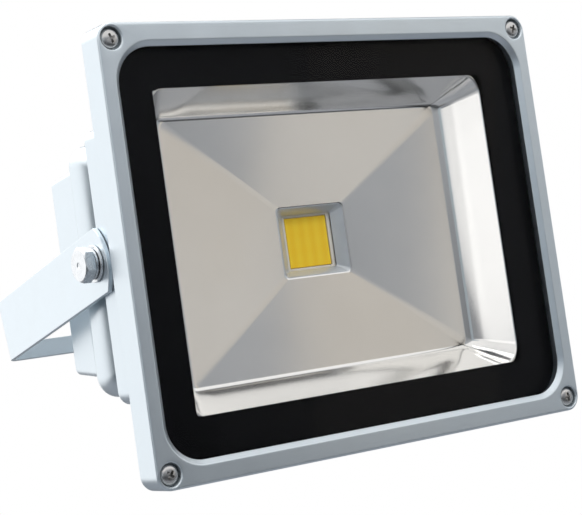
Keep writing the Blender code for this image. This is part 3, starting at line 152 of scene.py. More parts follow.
def placeLamps(settings):
    for name, lamp in settings.items():
        data = bpy.data.lights.new(name, "AREA")
        data.shape = "RECTANGLE"
        data.size, data.size_y = lamp["size"]
        data.energy = lamp["watts"]
        light = bpy.data.objects.new(name, data)
        light.matrix_world = aimAt(lamp["place"], lamp["aim"])
        light.visible_camera = False
        light.visible_glossy = lamp.get("mirrored", True)
        bpy.context.scene.collection.objects.link(light)


def shownWhite(tree, path):
    # 1 where the background is seen: straight, through glass or in the gloss of metal
    seen = path.outputs["Is Camera Ray"]
    for kind in ("Is Transmission Ray", "Is Glossy Ray"):
        either = tree.nodes.new("ShaderNodeMath")
        either.operation = "MAXIMUM"
        tree.links.new(seen, either.inputs[0])
        tree.links.new(path.outputs[kind], either.inputs[1])
        seen = either.outputs[0]
    return seen


def makeWorld(settings):
    world = bpy.data.worlds.new("studio")
    world.use_nodes = True
    tree = world.node_tree
    tree.nodes.clear()
    shown = tree.nodes.new("ShaderNodeBackground")
    shown.inputs["Color"].default_value = (*settings["shown"], 1)
    around = tree.nodes.new("ShaderNodeBackground")
    around.inputs["Color"].default_value = (*settings["around"], 1)
    around.inputs["Strength"].default_value = settings["strength"]
    path = tree.nodes.new("ShaderNodeLightPath")
    mix = tree.nodes.new("ShaderNodeMixShader")
    out = tree.nodes.new("ShaderNodeOutputWorld")
    tree.links.new(shownWhite(tree, path), mix.inputs[0])
    tree.links.new(around.outputs[0], mix.inputs[1])
    tree.links.new(shown.outputs[0], mix.inputs[2])
    tree.links.new(mix.outputs[0], out.inputs["Surface"])
    bpy.context.scene.world = world


def stageCard(name, corners, colour, bounce=None, low=None, fade=None):
    # "bounce" is the shade that lights the lamp and shows in its gloss
    mesh = bpy.data.meshes.new(name)
    mesh.from_pydata(corners, [], [(0, 1, 2, 3)])
    card = bpy.data.objects.new(name, mesh)
    material = bpy.data.materials.new(name)
    material.use_nodes = True
    tree = material.node_tree
    shader = tree.nodes["Principled BSDF"]
    shader.inputs["Base Color"].default_value = (*colour, 1)
    shader.inputs["Roughness"].default_value = cardRoughness
    shader.inputs["Specular IOR Level"].default_value = cardSpecular
    if bounce:
        path = tree.nodes.new("ShaderNodeLightPath")
        tree.links.new(blendColours(tree, path.outputs["Is Camera Ray"], bounce, colour),
                       shader.inputs["Base Color"])
    if low:
        coords = tree.nodes.new("ShaderNodeTexCoord")
        split = tree.nodes.new("ShaderNodeSeparateXYZ")
        tree.links.new(coords.outputs["Object"], split.inputs[0])
        rise = span(tree, split.outputs["Z"], 0, 1, *fade)
        tree.links.new(blendColours(tree, rise, low, colour), shader.inputs["Base Color"])
    mesh.materials.append(material)
    bpy.context.scene.collection.objects.link(card)
    return card


def mirrorOnly(card):
    card.visible_camera = False
    card.visible_diffuse = False
    card.visible_shadow = False


def whiten(material, colour, share):
    # the camera sees this share of the floor as even white, so that it meets the background
    tree = material.node_tree
    shader = tree.nodes["Principled BSDF"]
    out = tree.nodes["Material Output"]
    even = tree.nodes.new("ShaderNodeEmission")
    even.inputs["Color"].default_value = (*colour, 1)
    path = tree.nodes.new("ShaderNodeLightPath")
    part = tree.nodes.new("ShaderNodeMath")
    part.operation = "MULTIPLY"
    part.inputs[1].default_value = share
    mix = tree.nodes.new("ShaderNodeMixShader")
    tree.links.new(path.outputs["Is Camera Ray"], part.inputs[0])
    tree.links.new(part.outputs[0], mix.inputs[0])
    tree.links.new(shader.outputs[0], mix.inputs[1])
    tree.links.new(even.outputs[0], mix.inputs[2])
    tree.links.new(mix.outputs[0], out.inputs["Surface"])


def makeStage():
    half = floorSettings["size"] / 2
    height = floorSettings["height"]
    floor = stageCard("floor", [(-half, -half, height), (half, -half, height), (half, half, height),
                                (-half, half, height)], floorSettings["seen"], floorSettings["bounce"])
    whiten(floor.data.materials[0], floorSettings["white"], floorSettings["even"])
    for name, look in cardSettings.items():
        (startX, startY), (endX, endY) = look["from"], look["to"]
        card = stageCard(name, [(startX, startY, height), (endX, endY, height), (endX, endY, look["high"]),
                                (startX, startY, look["high"])],
                         look["colour"], low=look.get("low"), fade=look.get("fade"))
        card.visible_camera = False
    (left, near), (right, far) = matSettings["corners"]
    lift = height + matSettings["lift"]
    mat = stageCard("frontMat", [(left, near, lift), (right, near, lift), (right, far, lift),
                                 (left, far, lift)], matSettings["colour"])
    mirrorOnly(mat)
    width, tall = hangingSettings["size"]
    board = stageCard("hangingBoard", [(-width / 2, -tall / 2, 0), (width / 2, -tall / 2, 0),
                                       (width / 2, tall / 2, 0), (-width / 2, tall / 2, 0)],
                      hangingSettings["colour"])
    board.matrix_world = aimAt(hangingSettings["place"], hangingSettings["aim"])
    mirrorOnly(board)


placeLamps(lampSettings)
makeWorld(worldSettings)
makeStage()
print("floodlight: camera, lamps and stage")


# Finishes

def noise(tree, vector, sizeMm, detail, roughness=0.55):
    node = tree.nodes.new("ShaderNodeTexNoise")
    node.inputs["Scale"].default_value = 1000 / sizeMm
    node.inputs["Detail"].default_value = detail
    node.inputs["Roughness"].default_value = roughness
    tree.links.new(vector, node.inputs["Vector"])
    return node.outputs["Fac"]


glossSwing = 0.12                 # how far the mottle moves a finish's roughness
bevelSamples = 4


def makeFinish(name, look):
    # mottle: slow change of shade and gloss; grain: the fine surface that the bump shows
    material = bpy.data.materials.new(name)
    material.use_nodes = True
    tree = material.node_tree
    shader = tree.nodes["Principled BSDF"]
    shader.inputs["Metallic"].default_value = look.get("metallic", 0)
    shader.inputs["Specular IOR Level"].default_value = look.get("specular", 0.5)
    shader.inputs["Coat Weight"].default_value = look.get("coat", 0)
    shader.inputs["Coat Roughness"].default_value = look.get("coatRoughness", 0.1)
    coords = tree.nodes.new("ShaderNodeTexCoord")
    stretch = tree.nodes.new("ShaderNodeMapping")
    stretch.inputs["Scale"].default_value = look.get("stretch", (1, 1, 1))
    tree.links.new(coords.outputs["Object"], stretch.inputs["Vector"])
    vector = stretch.outputs["Vector"]
    mottle = noise(tree, vector, look.get("mottleSize", 12), 4)
    grain = noise(tree, vector, look.get("grainSize", 0.8), 2)
    base = Vector(look["colour"])
    spread = look.get("spread", 0.06)
    low, high = tuple(base * (1 - spread)), tuple(min(1, value) for value in base * (1 + spread))
    shade = blendColours(tree, span(tree, mottle, 0, 1), low, high)
    tree.links.new(shade, shader.inputs["Base Color"])
    rough = look["roughness"]
    gloss = span(tree, mottle, rough * (1 - glossSwing), min(1, rough * (1 + glossSwing)))
    tree.links.new(gloss, shader.inputs["Roughness"])
    bump = tree.nodes.new("ShaderNodeBump")
    bump.inputs["Strength"].default_value = look.get("bump", 0.2)
    bump.inputs["Distance"].default_value = look.get("bumpDepth", 0.02) * mm
    tree.links.new(grain, bump.inputs["Height"])
    if look.get("edge"):
        rounded = tree.nodes.new("ShaderNodeBevel")
        rounded.samples = bevelSamples
        rounded.inputs["Radius"].default_value = look["edge"] * mm
        tree.links.new(rounded.outputs["Normal"], bump.inputs["Normal"])
    tree.links.new(bump.outputs["Normal"], shader.inputs["Normal"])
    return material


finishSettings = {
    "silver_paint": {"colour": (0.70, 0.765, 0.81), "metallic": 0.86, "roughness": 0.33, "edge": 0.4,
                     "spread": 0.025, "mottleSize": 20, "grainSize": 0.55, "bump": 0.28, "bumpDepth": 0.03},
    "bracket_paint": {"colour": (0.72, 0.785, 0.83), "metallic": 0.86, "roughness": 0.32,
                      "spread": 0.03, "mottleSize": 16, "grainSize": 0.6, "bump": 0.28, "bumpDepth": 0.03},
    "black_print": {"colour": (0.0022, 0.0022, 0.0028), "roughness": 0.22, "specular": 0.1,
                    "grainSize": 2.0, "bump": 0.03},
    "black_silicone": {"colour": (0.020, 0.020, 0.022), "roughness": 0.62, "grainSize": 0.5, "bump": 0.3},
    "bright_aluminium": {"colour": (0.93, 0.92, 0.90), "metallic": 1.0, "roughness": 0.13, "spread": 0.02,
                         "mottleSize": 30, "grainSize": 0.7, "bump": 0.05, "bumpDepth": 0.01},
    "satin_collar": {"colour": (0.62, 0.65, 0.68), "metallic": 0.5, "roughness": 0.34, "grainSize": 0.7,
                     "bump": 0.2},
    "yellow_phosphor": {"colour": (0.88, 0.60, 0.03), "roughness": 0.5, "grainSize": 0.4, "bump": 0.2},
    "white_frame": {"colour": (0.74, 0.70, 0.62), "roughness": 0.45, "grainSize": 0.7, "bump": 0.15},
    "plated_copper": {"colour": (0.72, 0.64, 0.54), "metallic": 1.0, "roughness": 0.3, "grainSize": 0.6},
    "grey_pad": {"colour": (0.42, 0.45, 0.48), "roughness": 0.8, "grainSize": 0.6, "bump": 0.4},
    "stainless": {"colour": (0.63, 0.62, 0.61), "metallic": 1.0, "roughness": 0.25, "spread": 0.05,
                  "mottleSize": 3, "grainSize": 0.25, "bump": 0.12},
    "zinc_plate": {"colour": (0.72, 0.74, 0.76), "metallic": 1.0, "roughness": 0.27, "spread": 0.08,
                   "mottleSize": 2.5, "grainSize": 0.3, "bump": 0.15},
    "black_nylon": {"colour": (0.022, 0.022, 0.024), "roughness": 0.42, "grainSize": 0.35, "bump": 0.3},
    "brass": {"colour": (0.75, 0.55, 0.24), "metallic": 1.0, "roughness": 0.28, "grainSize": 0.4},
    "green_board": {"colour": (0.015, 0.13, 0.05), "roughness": 0.35, "mottleSize": 5, "spread": 0.2},
    "grey_ferrite": {"colour": (0.07, 0.07, 0.08), "roughness": 0.55, "grainSize": 0.3, "bump": 0.4},
    "yellow_tape": {"colour": (0.78, 0.58, 0.08), "roughness": 0.35, "mottleSize": 3},
    "black_sleeve": {"colour": (0.018, 0.018, 0.025), "roughness": 0.3, "mottleSize": 4},
    "red_sleeve": {"colour": (0.50, 0.02, 0.015), "roughness": 0.38, "mottleSize": 3},
    "orange_film": {"colour": (0.55, 0.17, 0.02), "roughness": 0.35, "mottleSize": 4},
    "green_terminal": {"colour": (0.02, 0.27, 0.10), "roughness": 0.42, "mottleSize": 4},
}

finishes = {name: makeFinish(name, look) for name, look in finishSettings.items()}

glassSettings = {"tint": (0.98, 0.98, 0.98), "ior": 1.19, "roughness": 0.015}


def makeGlass(settings):
    # clear pane: light passes straight through, and the surface keeps its gloss
    material = bpy.data.materials.new("clear_glass")
    material.use_nodes = True
    tree = material.node_tree
    tree.nodes.clear()
    clear = tree.nodes.new("ShaderNodeBsdfTransparent")
    clear.inputs["Color"].default_value = (*settings["tint"], 1)
    gloss = tree.nodes.new("ShaderNodeBsdfGlossy")
    gloss.inputs["Roughness"].default_value = settings["roughness"]
    fresnel = tree.nodes.new("ShaderNodeFresnel")
    fresnel.inputs["IOR"].default_value = settings["ior"]
    # only the face towards the viewer mirrors; at the far one the gloss would turn total
    geometry = tree.nodes.new("ShaderNodeNewGeometry")
    facing = tree.nodes.new("ShaderNodeMath")
    facing.operation = "SUBTRACT"
    facing.inputs[0].default_value = 1
    tree.links.new(geometry.outputs["Backfacing"], facing.inputs[1])
    share = tree.nodes.new("ShaderNodeMath")
    share.operation = "MULTIPLY"
    tree.links.new(fresnel.outputs[0], share.inputs[0])
    tree.links.new(facing.outputs[0], share.inputs[1])
    mix = tree.nodes.new("ShaderNodeMixShader")
    out = tree.nodes.new("ShaderNodeOutputMaterial")
    tree.links.new(share.outputs[0], mix.inputs[0])
    tree.links.new(clear.outputs[0], mix.inputs[1])
    tree.links.new(gloss.outputs[0], mix.inputs[2])
    tree.links.new(mix.outputs[0], out.inputs["Surface"])
    return material


finishes["clear_glass"] = makeGlass(glassSettings)

for part in frame["record"]["subparts"]:
    node = frame["nodes"].get(part["node"])
    if node:
        node.data.materials.clear()
        node.data.materials.append(finishes[part["material_slot"]])
print("floodlight: finishes")


# Mesh tools

def makePiece(name, mesh, finish, pose):
    piece = bpy.data.objects.new(name, mesh)
    bpy.context.scene.collection.objects.link(piece)
    piece.matrix_world = pose
    if finish:
        mesh.materials.append(finishes[finish])
    return piece


def shadeRound(mesh, sharp):
    # smooth, but for edges that bend by more than "sharp" degrees
    mesh.shade_smooth()
    mesh.set_sharp_from_angle(angle=math.radians(sharp))
    return mesh


def toMesh(name, bm, sharp=38):
    bmesh.ops.recalc_face_normals(bm, faces=bm.faces)
    mesh = bpy.data.meshes.new(name)
    bm.to_mesh(mesh)
    bm.free()
    return shadeRound(mesh, sharp)


def bridge(bm, first, second):
    # a band of faces between two rings of points
    for index in range(len(first)):
        other = (index + 1) % len(first)
        bm.faces.new((first[index], first[other], second[other], second[index]))


def roundedRing(halfX, halfZ, corner, depth, steps):
    corner = max(corner, leastCorner)
    points = []
    for quarter, (sideX, sideZ) in enumerate(((1, 1), (-1, 1), (-1, -1), (1, -1))):
        for step in range(steps + 1):
            turn = math.pi / 2 * (quarter + step / steps)
            points.append(Vector((sideX * (halfX - corner) + corner * math.cos(turn), depth,
                                  sideZ * (halfZ - corner) + corner * math.sin(turn))))
    return points


def reachBetween(first, second):
    step = first - second
    return max(1e-6, math.hypot(max(abs(step[0]), abs(step[1])), step[3]))


def softenRings(keys, closed, segments=4):
    # keys are (halfX, halfZ, corner, depth, softness): each key's bend becomes a curve
    rings = []
    count = len(keys)
    for index, key in enumerate(keys):
        here = Vector(key[:4])
        soft = key[4] if len(key) > 4 else 0
        if soft <= 0 or (not closed and index in (0, count - 1)):
            rings.append(here)
            continue
        before = Vector(keys[index - 1][:4])
        after = Vector(keys[(index + 1) % count][:4])
        enter, leave = (here + (other - here) * min(0.49, soft / reachBetween(here, other))
                        for other in (before, after))
        for step in range(segments + 1):
            t = step / segments
            rings.append(enter * (1 - t) ** 2 + here * 2 * t * (1 - t) + leave * t ** 2)
    return rings


def skin(name, keys, closed=False, steps=8, segments=4, sharp=38):
    bm = bmesh.new()
    loops = [[bm.verts.new(point * mm) for point in roundedRing(*ring, steps)]
             for ring in softenRings(keys, closed, segments)]
    following = loops[1:] + loops[:1] if closed else loops[1:]
    for first, second in zip(loops, following):
        bridge(bm, first, second)
    if not closed:
        bm.faces.new(loops[0])
        bm.faces.new(reversed(loops[-1]))
    return toMesh(name, bm, sharp)


capShare = 0.4                    # how far a block's end face is drawn in before it is capped


def blockKeys(halfX, halfZ, corner, front, back, frontSoft=0.0, backSoft=0.0, taper=(0, 0)):
    inset = min(halfX, halfZ) * capShare
    backX, backZ = halfX - taper[0], halfZ - taper[1]
    return [(halfX - inset, halfZ - inset, corner, front), (halfX, halfZ, corner, front, frontSoft),
            (backX, backZ, corner, back, backSoft), (backX - inset, backZ - inset, corner, back)]


def turnedMesh(name, profile, steps=48, sharp=38):
    # profile of (radius, height), turned about the mesh's own Z
    bm = bmesh.new()
    rows = []
    for radius, height in profile:
        if radius < 1e-6:
            rows.append([bm.verts.new((0, 0, height * mm))])
        else:
            rows.append([bm.verts.new((radius * mm * math.cos(math.tau * step / steps),
                                       radius * mm * math.sin(math.tau * step / steps), height * mm))
                         for step in range(steps)])
    ring = profile[0][0] > 1e-6
    for first, second in zip(rows, rows[1:] + (rows[:1] if ring else [])):
        if len(first) == len(second) > 1:
            bridge(bm, first, second)
            continue
        for step in range(steps):
            other = (step + 1) % steps
            if len(second) > 1:
                bm.faces.new((first[0], second[step], second[other]))
            elif len(first) > 1:
                bm.faces.new((first[step], first[other], second[0]))
    return toMesh(name, bm, sharp)


def prismMesh(name, outline, low, high, soft=0.0, sharp=38):
    # outline of (x, y), drawn up along Z, its rims softened
    bm = bmesh.new()
    lower = [bm.verts.new((x * mm, y * mm, low * mm)) for x, y in outline]
    upper = [bm.verts.new((x * mm, y * mm, high * mm)) for x, y in outline]
    bm.faces.new(reversed(lower))
    bm.faces.new(upper)
    for index in range(len(outline)):
        other = (index + 1) % len(outline)
        bm.faces.new((lower[index], lower[other], upper[other], upper[index]))
    if soft:
        bmesh.ops.bevel(bm, geom=list(bm.edges), offset=soft * mm, segments=3, profile=0.5,
                        affect="EDGES", clamp_overlap=True)
    return toMesh(name, bm, sharp)


def hexOutline(acrossFlats, turn=0.0):
    radius = acrossFlats / math.sqrt(3)
    return [(radius * math.cos(turn + math.tau * side / 6), radius * math.sin(turn + math.tau * side / 6))
            for side in range(6)]


def weightNormals(piece):
    modifier = piece.modifiers.new("EvenFaces", "WEIGHTED_NORMAL")
    modifier.keep_sharp = True
    modifier.weight = 80


def settle(piece, sharp=38):
    # keeps what the modifiers give and drops them
    graph = bpy.context.evaluated_depsgraph_get()
    mesh = bpy.data.meshes.new_from_object(piece.evaluated_get(graph))
    piece.modifiers.clear()
    piece.data = shadeRound(mesh, sharp)
    return piece


def rodPiece(radius, length, pose, soft=0.0, steps=40):
    rim = [(radius, length - soft), (radius - soft, length)] if soft else [(radius, length)]
    profile = [(0, 0), (radius, 0), *rim, (0, length)]
    return makePiece("rod", turnedMesh("rod", profile, steps), None, pose)


def corners(x, z):
    return ((-x, z), (x, z), (-x, -z), (x, -z))


def combine(piece, tools, operation, sharp=38):
    group = bpy.data.collections.new("tools")
    bpy.context.scene.collection.children.link(group)
    for tool in tools:
        group.objects.link(tool)
    modifier = piece.modifiers.new("Combine", "BOOLEAN")
    modifier.operation = operation
    modifier.solver = "EXACT"
    modifier.operand_type = "COLLECTION"
    modifier.collection = group
    settle(piece, sharp)
    for tool in tools:
        bpy.data.objects.remove(tool, do_unlink=True)
    bpy.data.collections.remove(group)
    return piece


def fit(piece, body, slotName, *nodes, bake=True):
    # "bake" carries the pose into the mesh, so that its box is measured along the world's axes
    weightNormals(piece)
    if bake:
        piece.data.transform(piece.matrix_world)
        piece.matrix_world = Matrix.Identity(4)
    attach(piece, body)
    if nodes:
        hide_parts(*nodes)
    return piece


def standAt(x, depth, z, direction, base=headPose):
    # a pose whose own Z points along the named direction of the head
    turns = {"front": Matrix.Rotation(math.pi / 2, 4, "X"), "back": Matrix.Rotation(-math.pi / 2, 4, "X"),
             "right": Matrix.Rotation(math.pi / 2, 4, "Y"), "left": Matrix.Rotation(-math.pi / 2, 4, "Y"),
             "down": Matrix.Rotation(math.pi, 4, "X")}
    return base @ Matrix.Translation((x * mm, depth * mm, z * mm)) @ turns[direction]


# Bezel

bezelSettings = {
    "halfX": 112.5, "halfZ": 92.5, "depth": 14.0, "corner": 6.5, "edge": 1.25,
    "openX": 104.65, "openZ": 82.75, "openCorner": 15.5, "lip": 2.2,
    "seat": 3.3, "screwX": 106.3, "screwZ": 86.2, "bore": 4.7, "boreDepth": 3.6, "mouth": 0.7,
    "mouthBend": (0.35, 0.4),        # where the mouth's rounding bends, as shares of its width
    "shankHole": 2.3, "holeEnd": 15.0, "cutAbove": 1.0,
    "rearEdge": 0.3, "lipEdge": 0.35, "tip": 0.05, "tipEdge": 0.15, "pocketEdge": 0.2,
}


def makeBezel(s):
    openX, openZ, corner = s["openX"], s["openZ"], s["openCorner"]
    chamfer = s["lip"]
    keys = [
        (s["halfX"], s["halfZ"], s["corner"], s["depth"], s["rearEdge"]),
        (s["halfX"], s["halfZ"], s["corner"], 0, s["edge"]),
        (openX + chamfer, openZ + chamfer, corner + chamfer, 0, s["lipEdge"]),
        (openX, openZ, corner, s["lip"] - s["tip"], s["tipEdge"]),
        (openX, openZ, corner, s["lip"], 0),
        (openX + s["seat"], openZ + s["seat"], corner + s["seat"], s["lip"], 0),
        (openX + s["seat"], openZ + s["seat"], corner + s["seat"], s["depth"], s["pocketEdge"]),
    ]
    bezel = makePiece("bezelFrame", skin("bezelFrame", keys, closed=True, steps=14), "silver_paint",
                      headPose)
    bore, mouth, above, hole = s["bore"], s["mouth"], s["cutAbove"], s["shankHole"]
    bendOut, bendIn = s["mouthBend"]
    profile = [(0, above), (bore + mouth + above, above), (bore + mouth, 0),
               (bore + mouth * bendOut, -mouth * bendIn), (bore, -mouth), (bore, -s["boreDepth"]),
               (hole, -s["boreDepth"]), (hole, -s["holeEnd"]), (0, -s["holeEnd"])]
    cutters = [makePiece(f"boreCutter{index}", turnedMesh("boreCutter", profile), None,
                         standAt(x, 0, z, "front"))
               for index, (x, z) in enumerate(corners(s["screwX"], s["screwZ"]))]
    combine(bezel, cutters, "DIFFERENCE")
    fit(bezel, "head", "silver_paint", "bezel")


makeBezel(bezelSettings)
print("floodlight: bezel")


# Pan-head screws, each with a cross recess

screwSettings = {
    "head": 4.0, "height": 2.6, "shank": 2.0, "recess": 2.1, "blade": 0.5, "dip": 1.7,
    "dome": ((0.45, 0.97), (0.72, 0.87), (0.9, 0.66), (0.985, 0.38), (1, 0.15)),  # shares of head, height
    "under": 0.97,                   # the head's underside, a share of its radius
    "deepWide": 0.45, "deepThin": 0.8,  # the recess at its bottom, as shares of its mouth
    "cutAbove": 0.4,
}
bezelScrewSettings = screwSettings | {"head": 4.3, "height": 3.0, "recess": 2.2, "blade": 0.55,
                                      "dip": 2.0, "length": 14.6, "turns": (0.35, 1.2, 0.9, 0.1)}


def makeScrew(name, length, pose, node, s=screwSettings, turn=0.3):
    head, height = s["head"], s["height"]
    profile = [(0, height)] + [(head * out, height * up) for out, up in s["dome"]]
    profile += [(head * s["under"], 0.0), (s["shank"], 0.0), (s["shank"], -length), (0, -length)]
    screw = makePiece(name, turnedMesh(name, profile), "stainless", pose @ Matrix.Rotation(turn, 4, "Z"))
    blades = []
    for index in range(2):
        wide, thin = s["recess"], s["blade"]
        bm = bmesh.new()
        bmesh.ops.create_cube(bm, size=1)
        for vert in bm.verts:
            top = vert.co.z > 0
            reach = wide if top else wide * s["deepWide"]
            vert.co = Vector((math.copysign(reach, vert.co.x) * mm,
                              math.copysign(thin if top else thin * s["deepThin"], vert.co.y) * mm,
                              (height + s["cutAbove"] if top else height - s["dip"]) * mm))
        blade = makePiece(f"{name}Blade{index}", toMesh("blade", bm), None,
                          screw.matrix_world @ Matrix.Rotation(math.pi / 2 * index, 4, "Z"))
        blades.append(blade)
    combine(screw, blades, "DIFFERENCE")
    return fit(screw, "head", "stainless", node)


def makeBezelScrews(bezel, s):
    places = corners(bezel["screwX"], bezel["screwZ"])
    for index, ((x, z), turn) in enumerate(zip(places, s["turns"]), 1):
        pose = standAt(x, bezel["boreDepth"] - gap, z, "front")
        makeScrew(f"bezelScrew{index}", s["length"], pose, f"bezel_screw_{index}", s, turn)


makeBezelScrews(bezelSettings, bezelScrewSettings)
print("floodlight: bezel screws")


# Glass pane and the black border printed behind it

paneSettings = {"halfX": 106.75, "halfZ": 84.85, "corner": 17.6, "front": 2.5, "back": 6.5, "edge": 0.4}
printSettings = {"halfX": 106.35, "halfZ": 84.45, "corner": 17.2, "front": 6.8, "back": 7.2,
                 "windowX": 87.3, "windowZ": 66.4, "windowCorner": 1.8}


def makePane(s):
    keys = blockKeys(s["halfX"], s["halfZ"], s["corner"], s["front"], s["back"], s["edge"], s["edge"])
    pane = makePiece("glassPane", skin("glassPane", keys, steps=14, segments=2), "clear_glass", headPose)
    fit(pane, "head", "clear_glass", "front_glass")


def makeBorder(s):
    outer = (s["halfX"], s["halfZ"], s["corner"])
    window = (s["windowX"], s["windowZ"], s["windowCorner"])
    keys = [(*outer, s["front"]), (*outer, s["back"]), (*window, s["back"]), (*window, s["front"])]
    mesh = skin("printedBorder", keys, closed=True, steps=12)
    border = makePiece("printedBorder", mesh, "black_print", headPose)
    fit(border, "head", "black_print", "glass_print")


makePane(paneSettings)
makeBorder(printSettings)
print("floodlight: pane and border")


# Reflector tray

reflectorSettings = {
    "flange": (98.15, 76.25, 13.6, 9.3), "top": (88.0, 67.1, 9.5, 9.3, 0.7),
    "bend": (80.2, 60.6, 6.0, 22.6, 5.0), "base": (76.0, 57.0, 3.4, 28.0, 2.2),
    "collar": (17.7, 15.4, 2.0, 33.0, 1.0), "end": (13.1, 12.3, 0.9, 36.9), "sheet": 0.8,
    "collarFrom": 33.1, "sharp": 50,
}


def makeReflector(s):
    # pressed tray: flange, walls that bend slightly, four facets, then the satin collar
    keys = [s["flange"], s["top"], s["bend"], s["base"], s["collar"], s["end"]]
    bm = bmesh.new()
    loops = [[bm.verts.new(point * mm) for point in roundedRing(*ring, 10)]
             for ring in softenRings(keys, False, 8)]
    for first, second in zip(loops, loops[1:]):
        bridge(bm, first, second)
    bmesh.ops.recalc_face_normals(bm, faces=bm.faces)
    if sum(face.normal.y * face.calc_area() for face in bm.faces) > 0:
        bmesh.ops.reverse_faces(bm, faces=bm.faces)
    for face in bm.faces:
        face.material_index = 1 if face.calc_center_median().y > s["collarFrom"] * mm else 0
    mesh = bpy.data.meshes.new("reflectorTray")
    bm.to_mesh(mesh)
    bm.free()
    tray = makePiece("reflectorTray", shadeRound(mesh, s["sharp"]), "bright_aluminium", headPose)
    mesh.materials.append(finishes["satin_collar"])
    sheet = tray.modifiers.new("Sheet", "SOLIDIFY")
    sheet.thickness = s["sheet"] * mm
    sheet.offset = -1
    sheet.use_even_offset = True
    fit(tray, "head", "bright_aluminium", "reflector")


makeReflector(reflectorSettings)
print("floodlight: reflector")


# LED: phosphor square in its pale frame

emitterSettings = {
    "phosphor": 11.1, "phosphorFront": 38.0, "corner": 0.4, "edge": 0.25, "back": 39.1,
    "frame": 13.5, "inner": 11.4, "frameFront": 37.7, "frameCorner": 0.8, "innerCorner": 0.5,
    "frameEdge": 0.35, "backEdge": 0.1, "columns": 4, "rows": 3, "rowShare": 0.25,
    "colour": (1.0, 0.68, 0.045), "between": (0.97, 0.61, 0.030),
    "roughness": 0.5, "specular": 0.2, "grainSize": 0.5, "bump": 0.15, "bumpDepth": 0.02,
}


def phosphorFinish(s):
    # the chips under the silicone show faintly as paler columns
    material = bpy.data.materials.new("yellow_phosphor_columns")
    material.use_nodes = True
    tree = material.node_tree
    shader = tree.nodes["Principled BSDF"]
    shader.inputs["Roughness"].default_value = s["roughness"]
    shader.inputs["Specular IOR Level"].default_value = s["specular"]
    coords = tree.nodes.new("ShaderNodeTexCoord")
    split = tree.nodes.new("ShaderNodeSeparateXYZ")
    tree.links.new(coords.outputs["Object"], split.inputs[0])
    waves = []
    for axis, count in (("X", s["columns"]), ("Z", s["rows"])):
        scale = tree.nodes.new("ShaderNodeMath")
        scale.operation = "MULTIPLY"
        scale.inputs[1].default_value = math.tau * count / (2 * s["phosphor"] * mm)
        tree.links.new(split.outputs[axis], scale.inputs[0])
        wave = tree.nodes.new("ShaderNodeMath")
        wave.operation = "COSINE"
        tree.links.new(scale.outputs[0], wave.inputs[0])
        waves.append(wave.outputs[0])
    both = tree.nodes.new("ShaderNodeMath")
    both.operation = "MULTIPLY_ADD"
    both.inputs[1].default_value = s["rowShare"]
    tree.links.new(waves[1], both.inputs[0])
    tree.links.new(waves[0], both.inputs[2])
    shade = blendColours(tree, span(tree, both.outputs[0], 0, 1, -1.1, 1.1), s["between"], s["colour"])
    tree.links.new(shade, shader.inputs["Base Color"])
    grain = noise(tree, coords.outputs["Object"], s["grainSize"], 2)
    bump = tree.nodes.new("ShaderNodeBump")
    bump.inputs["Strength"].default_value = s["bump"]
    bump.inputs["Distance"].default_value = s["bumpDepth"] * mm
    tree.links.new(grain, bump.inputs["Height"])
    tree.links.new(bump.outputs["Normal"], shader.inputs["Normal"])
    return material


def makeEmitter(s):
    keys = blockKeys(s["phosphor"], s["phosphor"], s["corner"], s["phosphorFront"], s["back"], s["edge"])
    phosphor = makePiece("phosphorSquare", skin("phosphorSquare", keys, steps=4), None, headPose)
    phosphor.data.materials.append(phosphorFinish(s))
    fit(phosphor, "head", "yellow_phosphor", "phosphor", bake=False)
    outer, inner = (s["frame"], s["frame"], s["frameCorner"]), (s["inner"], s["inner"], s["innerCorner"])
    keys = [(*outer, s["back"], s["backEdge"]), (*outer, s["frameFront"], s["frameEdge"]),
            (*inner, s["frameFront"], s["frameEdge"]), (*inner, s["back"], s["backEdge"])]
    rim = makePiece("emitterRim", skin("emitterRim", keys, closed=True, steps=4), "white_frame", headPose)
    fit(rim, "head", "white_frame", "emitter_frame")


makeEmitter(emitterSettings)
print("floodlight: emitter")


# U-bracket, bent from flat strip

bracketSettings = {
    "innerX": 110.0, "thickness": 2.0, "halfWidth": 13.5, "outerBend": 4.0, "tipRadius": 20.0,
    "tipReach": 10.1, "slotX": 84.0, "slotLength": 30.0, "slotWidth": 11.0, "hole": 4.3, "edge": 0.3,
    "straightFrom": 12.0, "seam": 0.01, "cutReach": 3.0, "bendSteps": 10, "tipSteps": 24, "slotSteps": 16,
    "edgeAngle": 50,
}


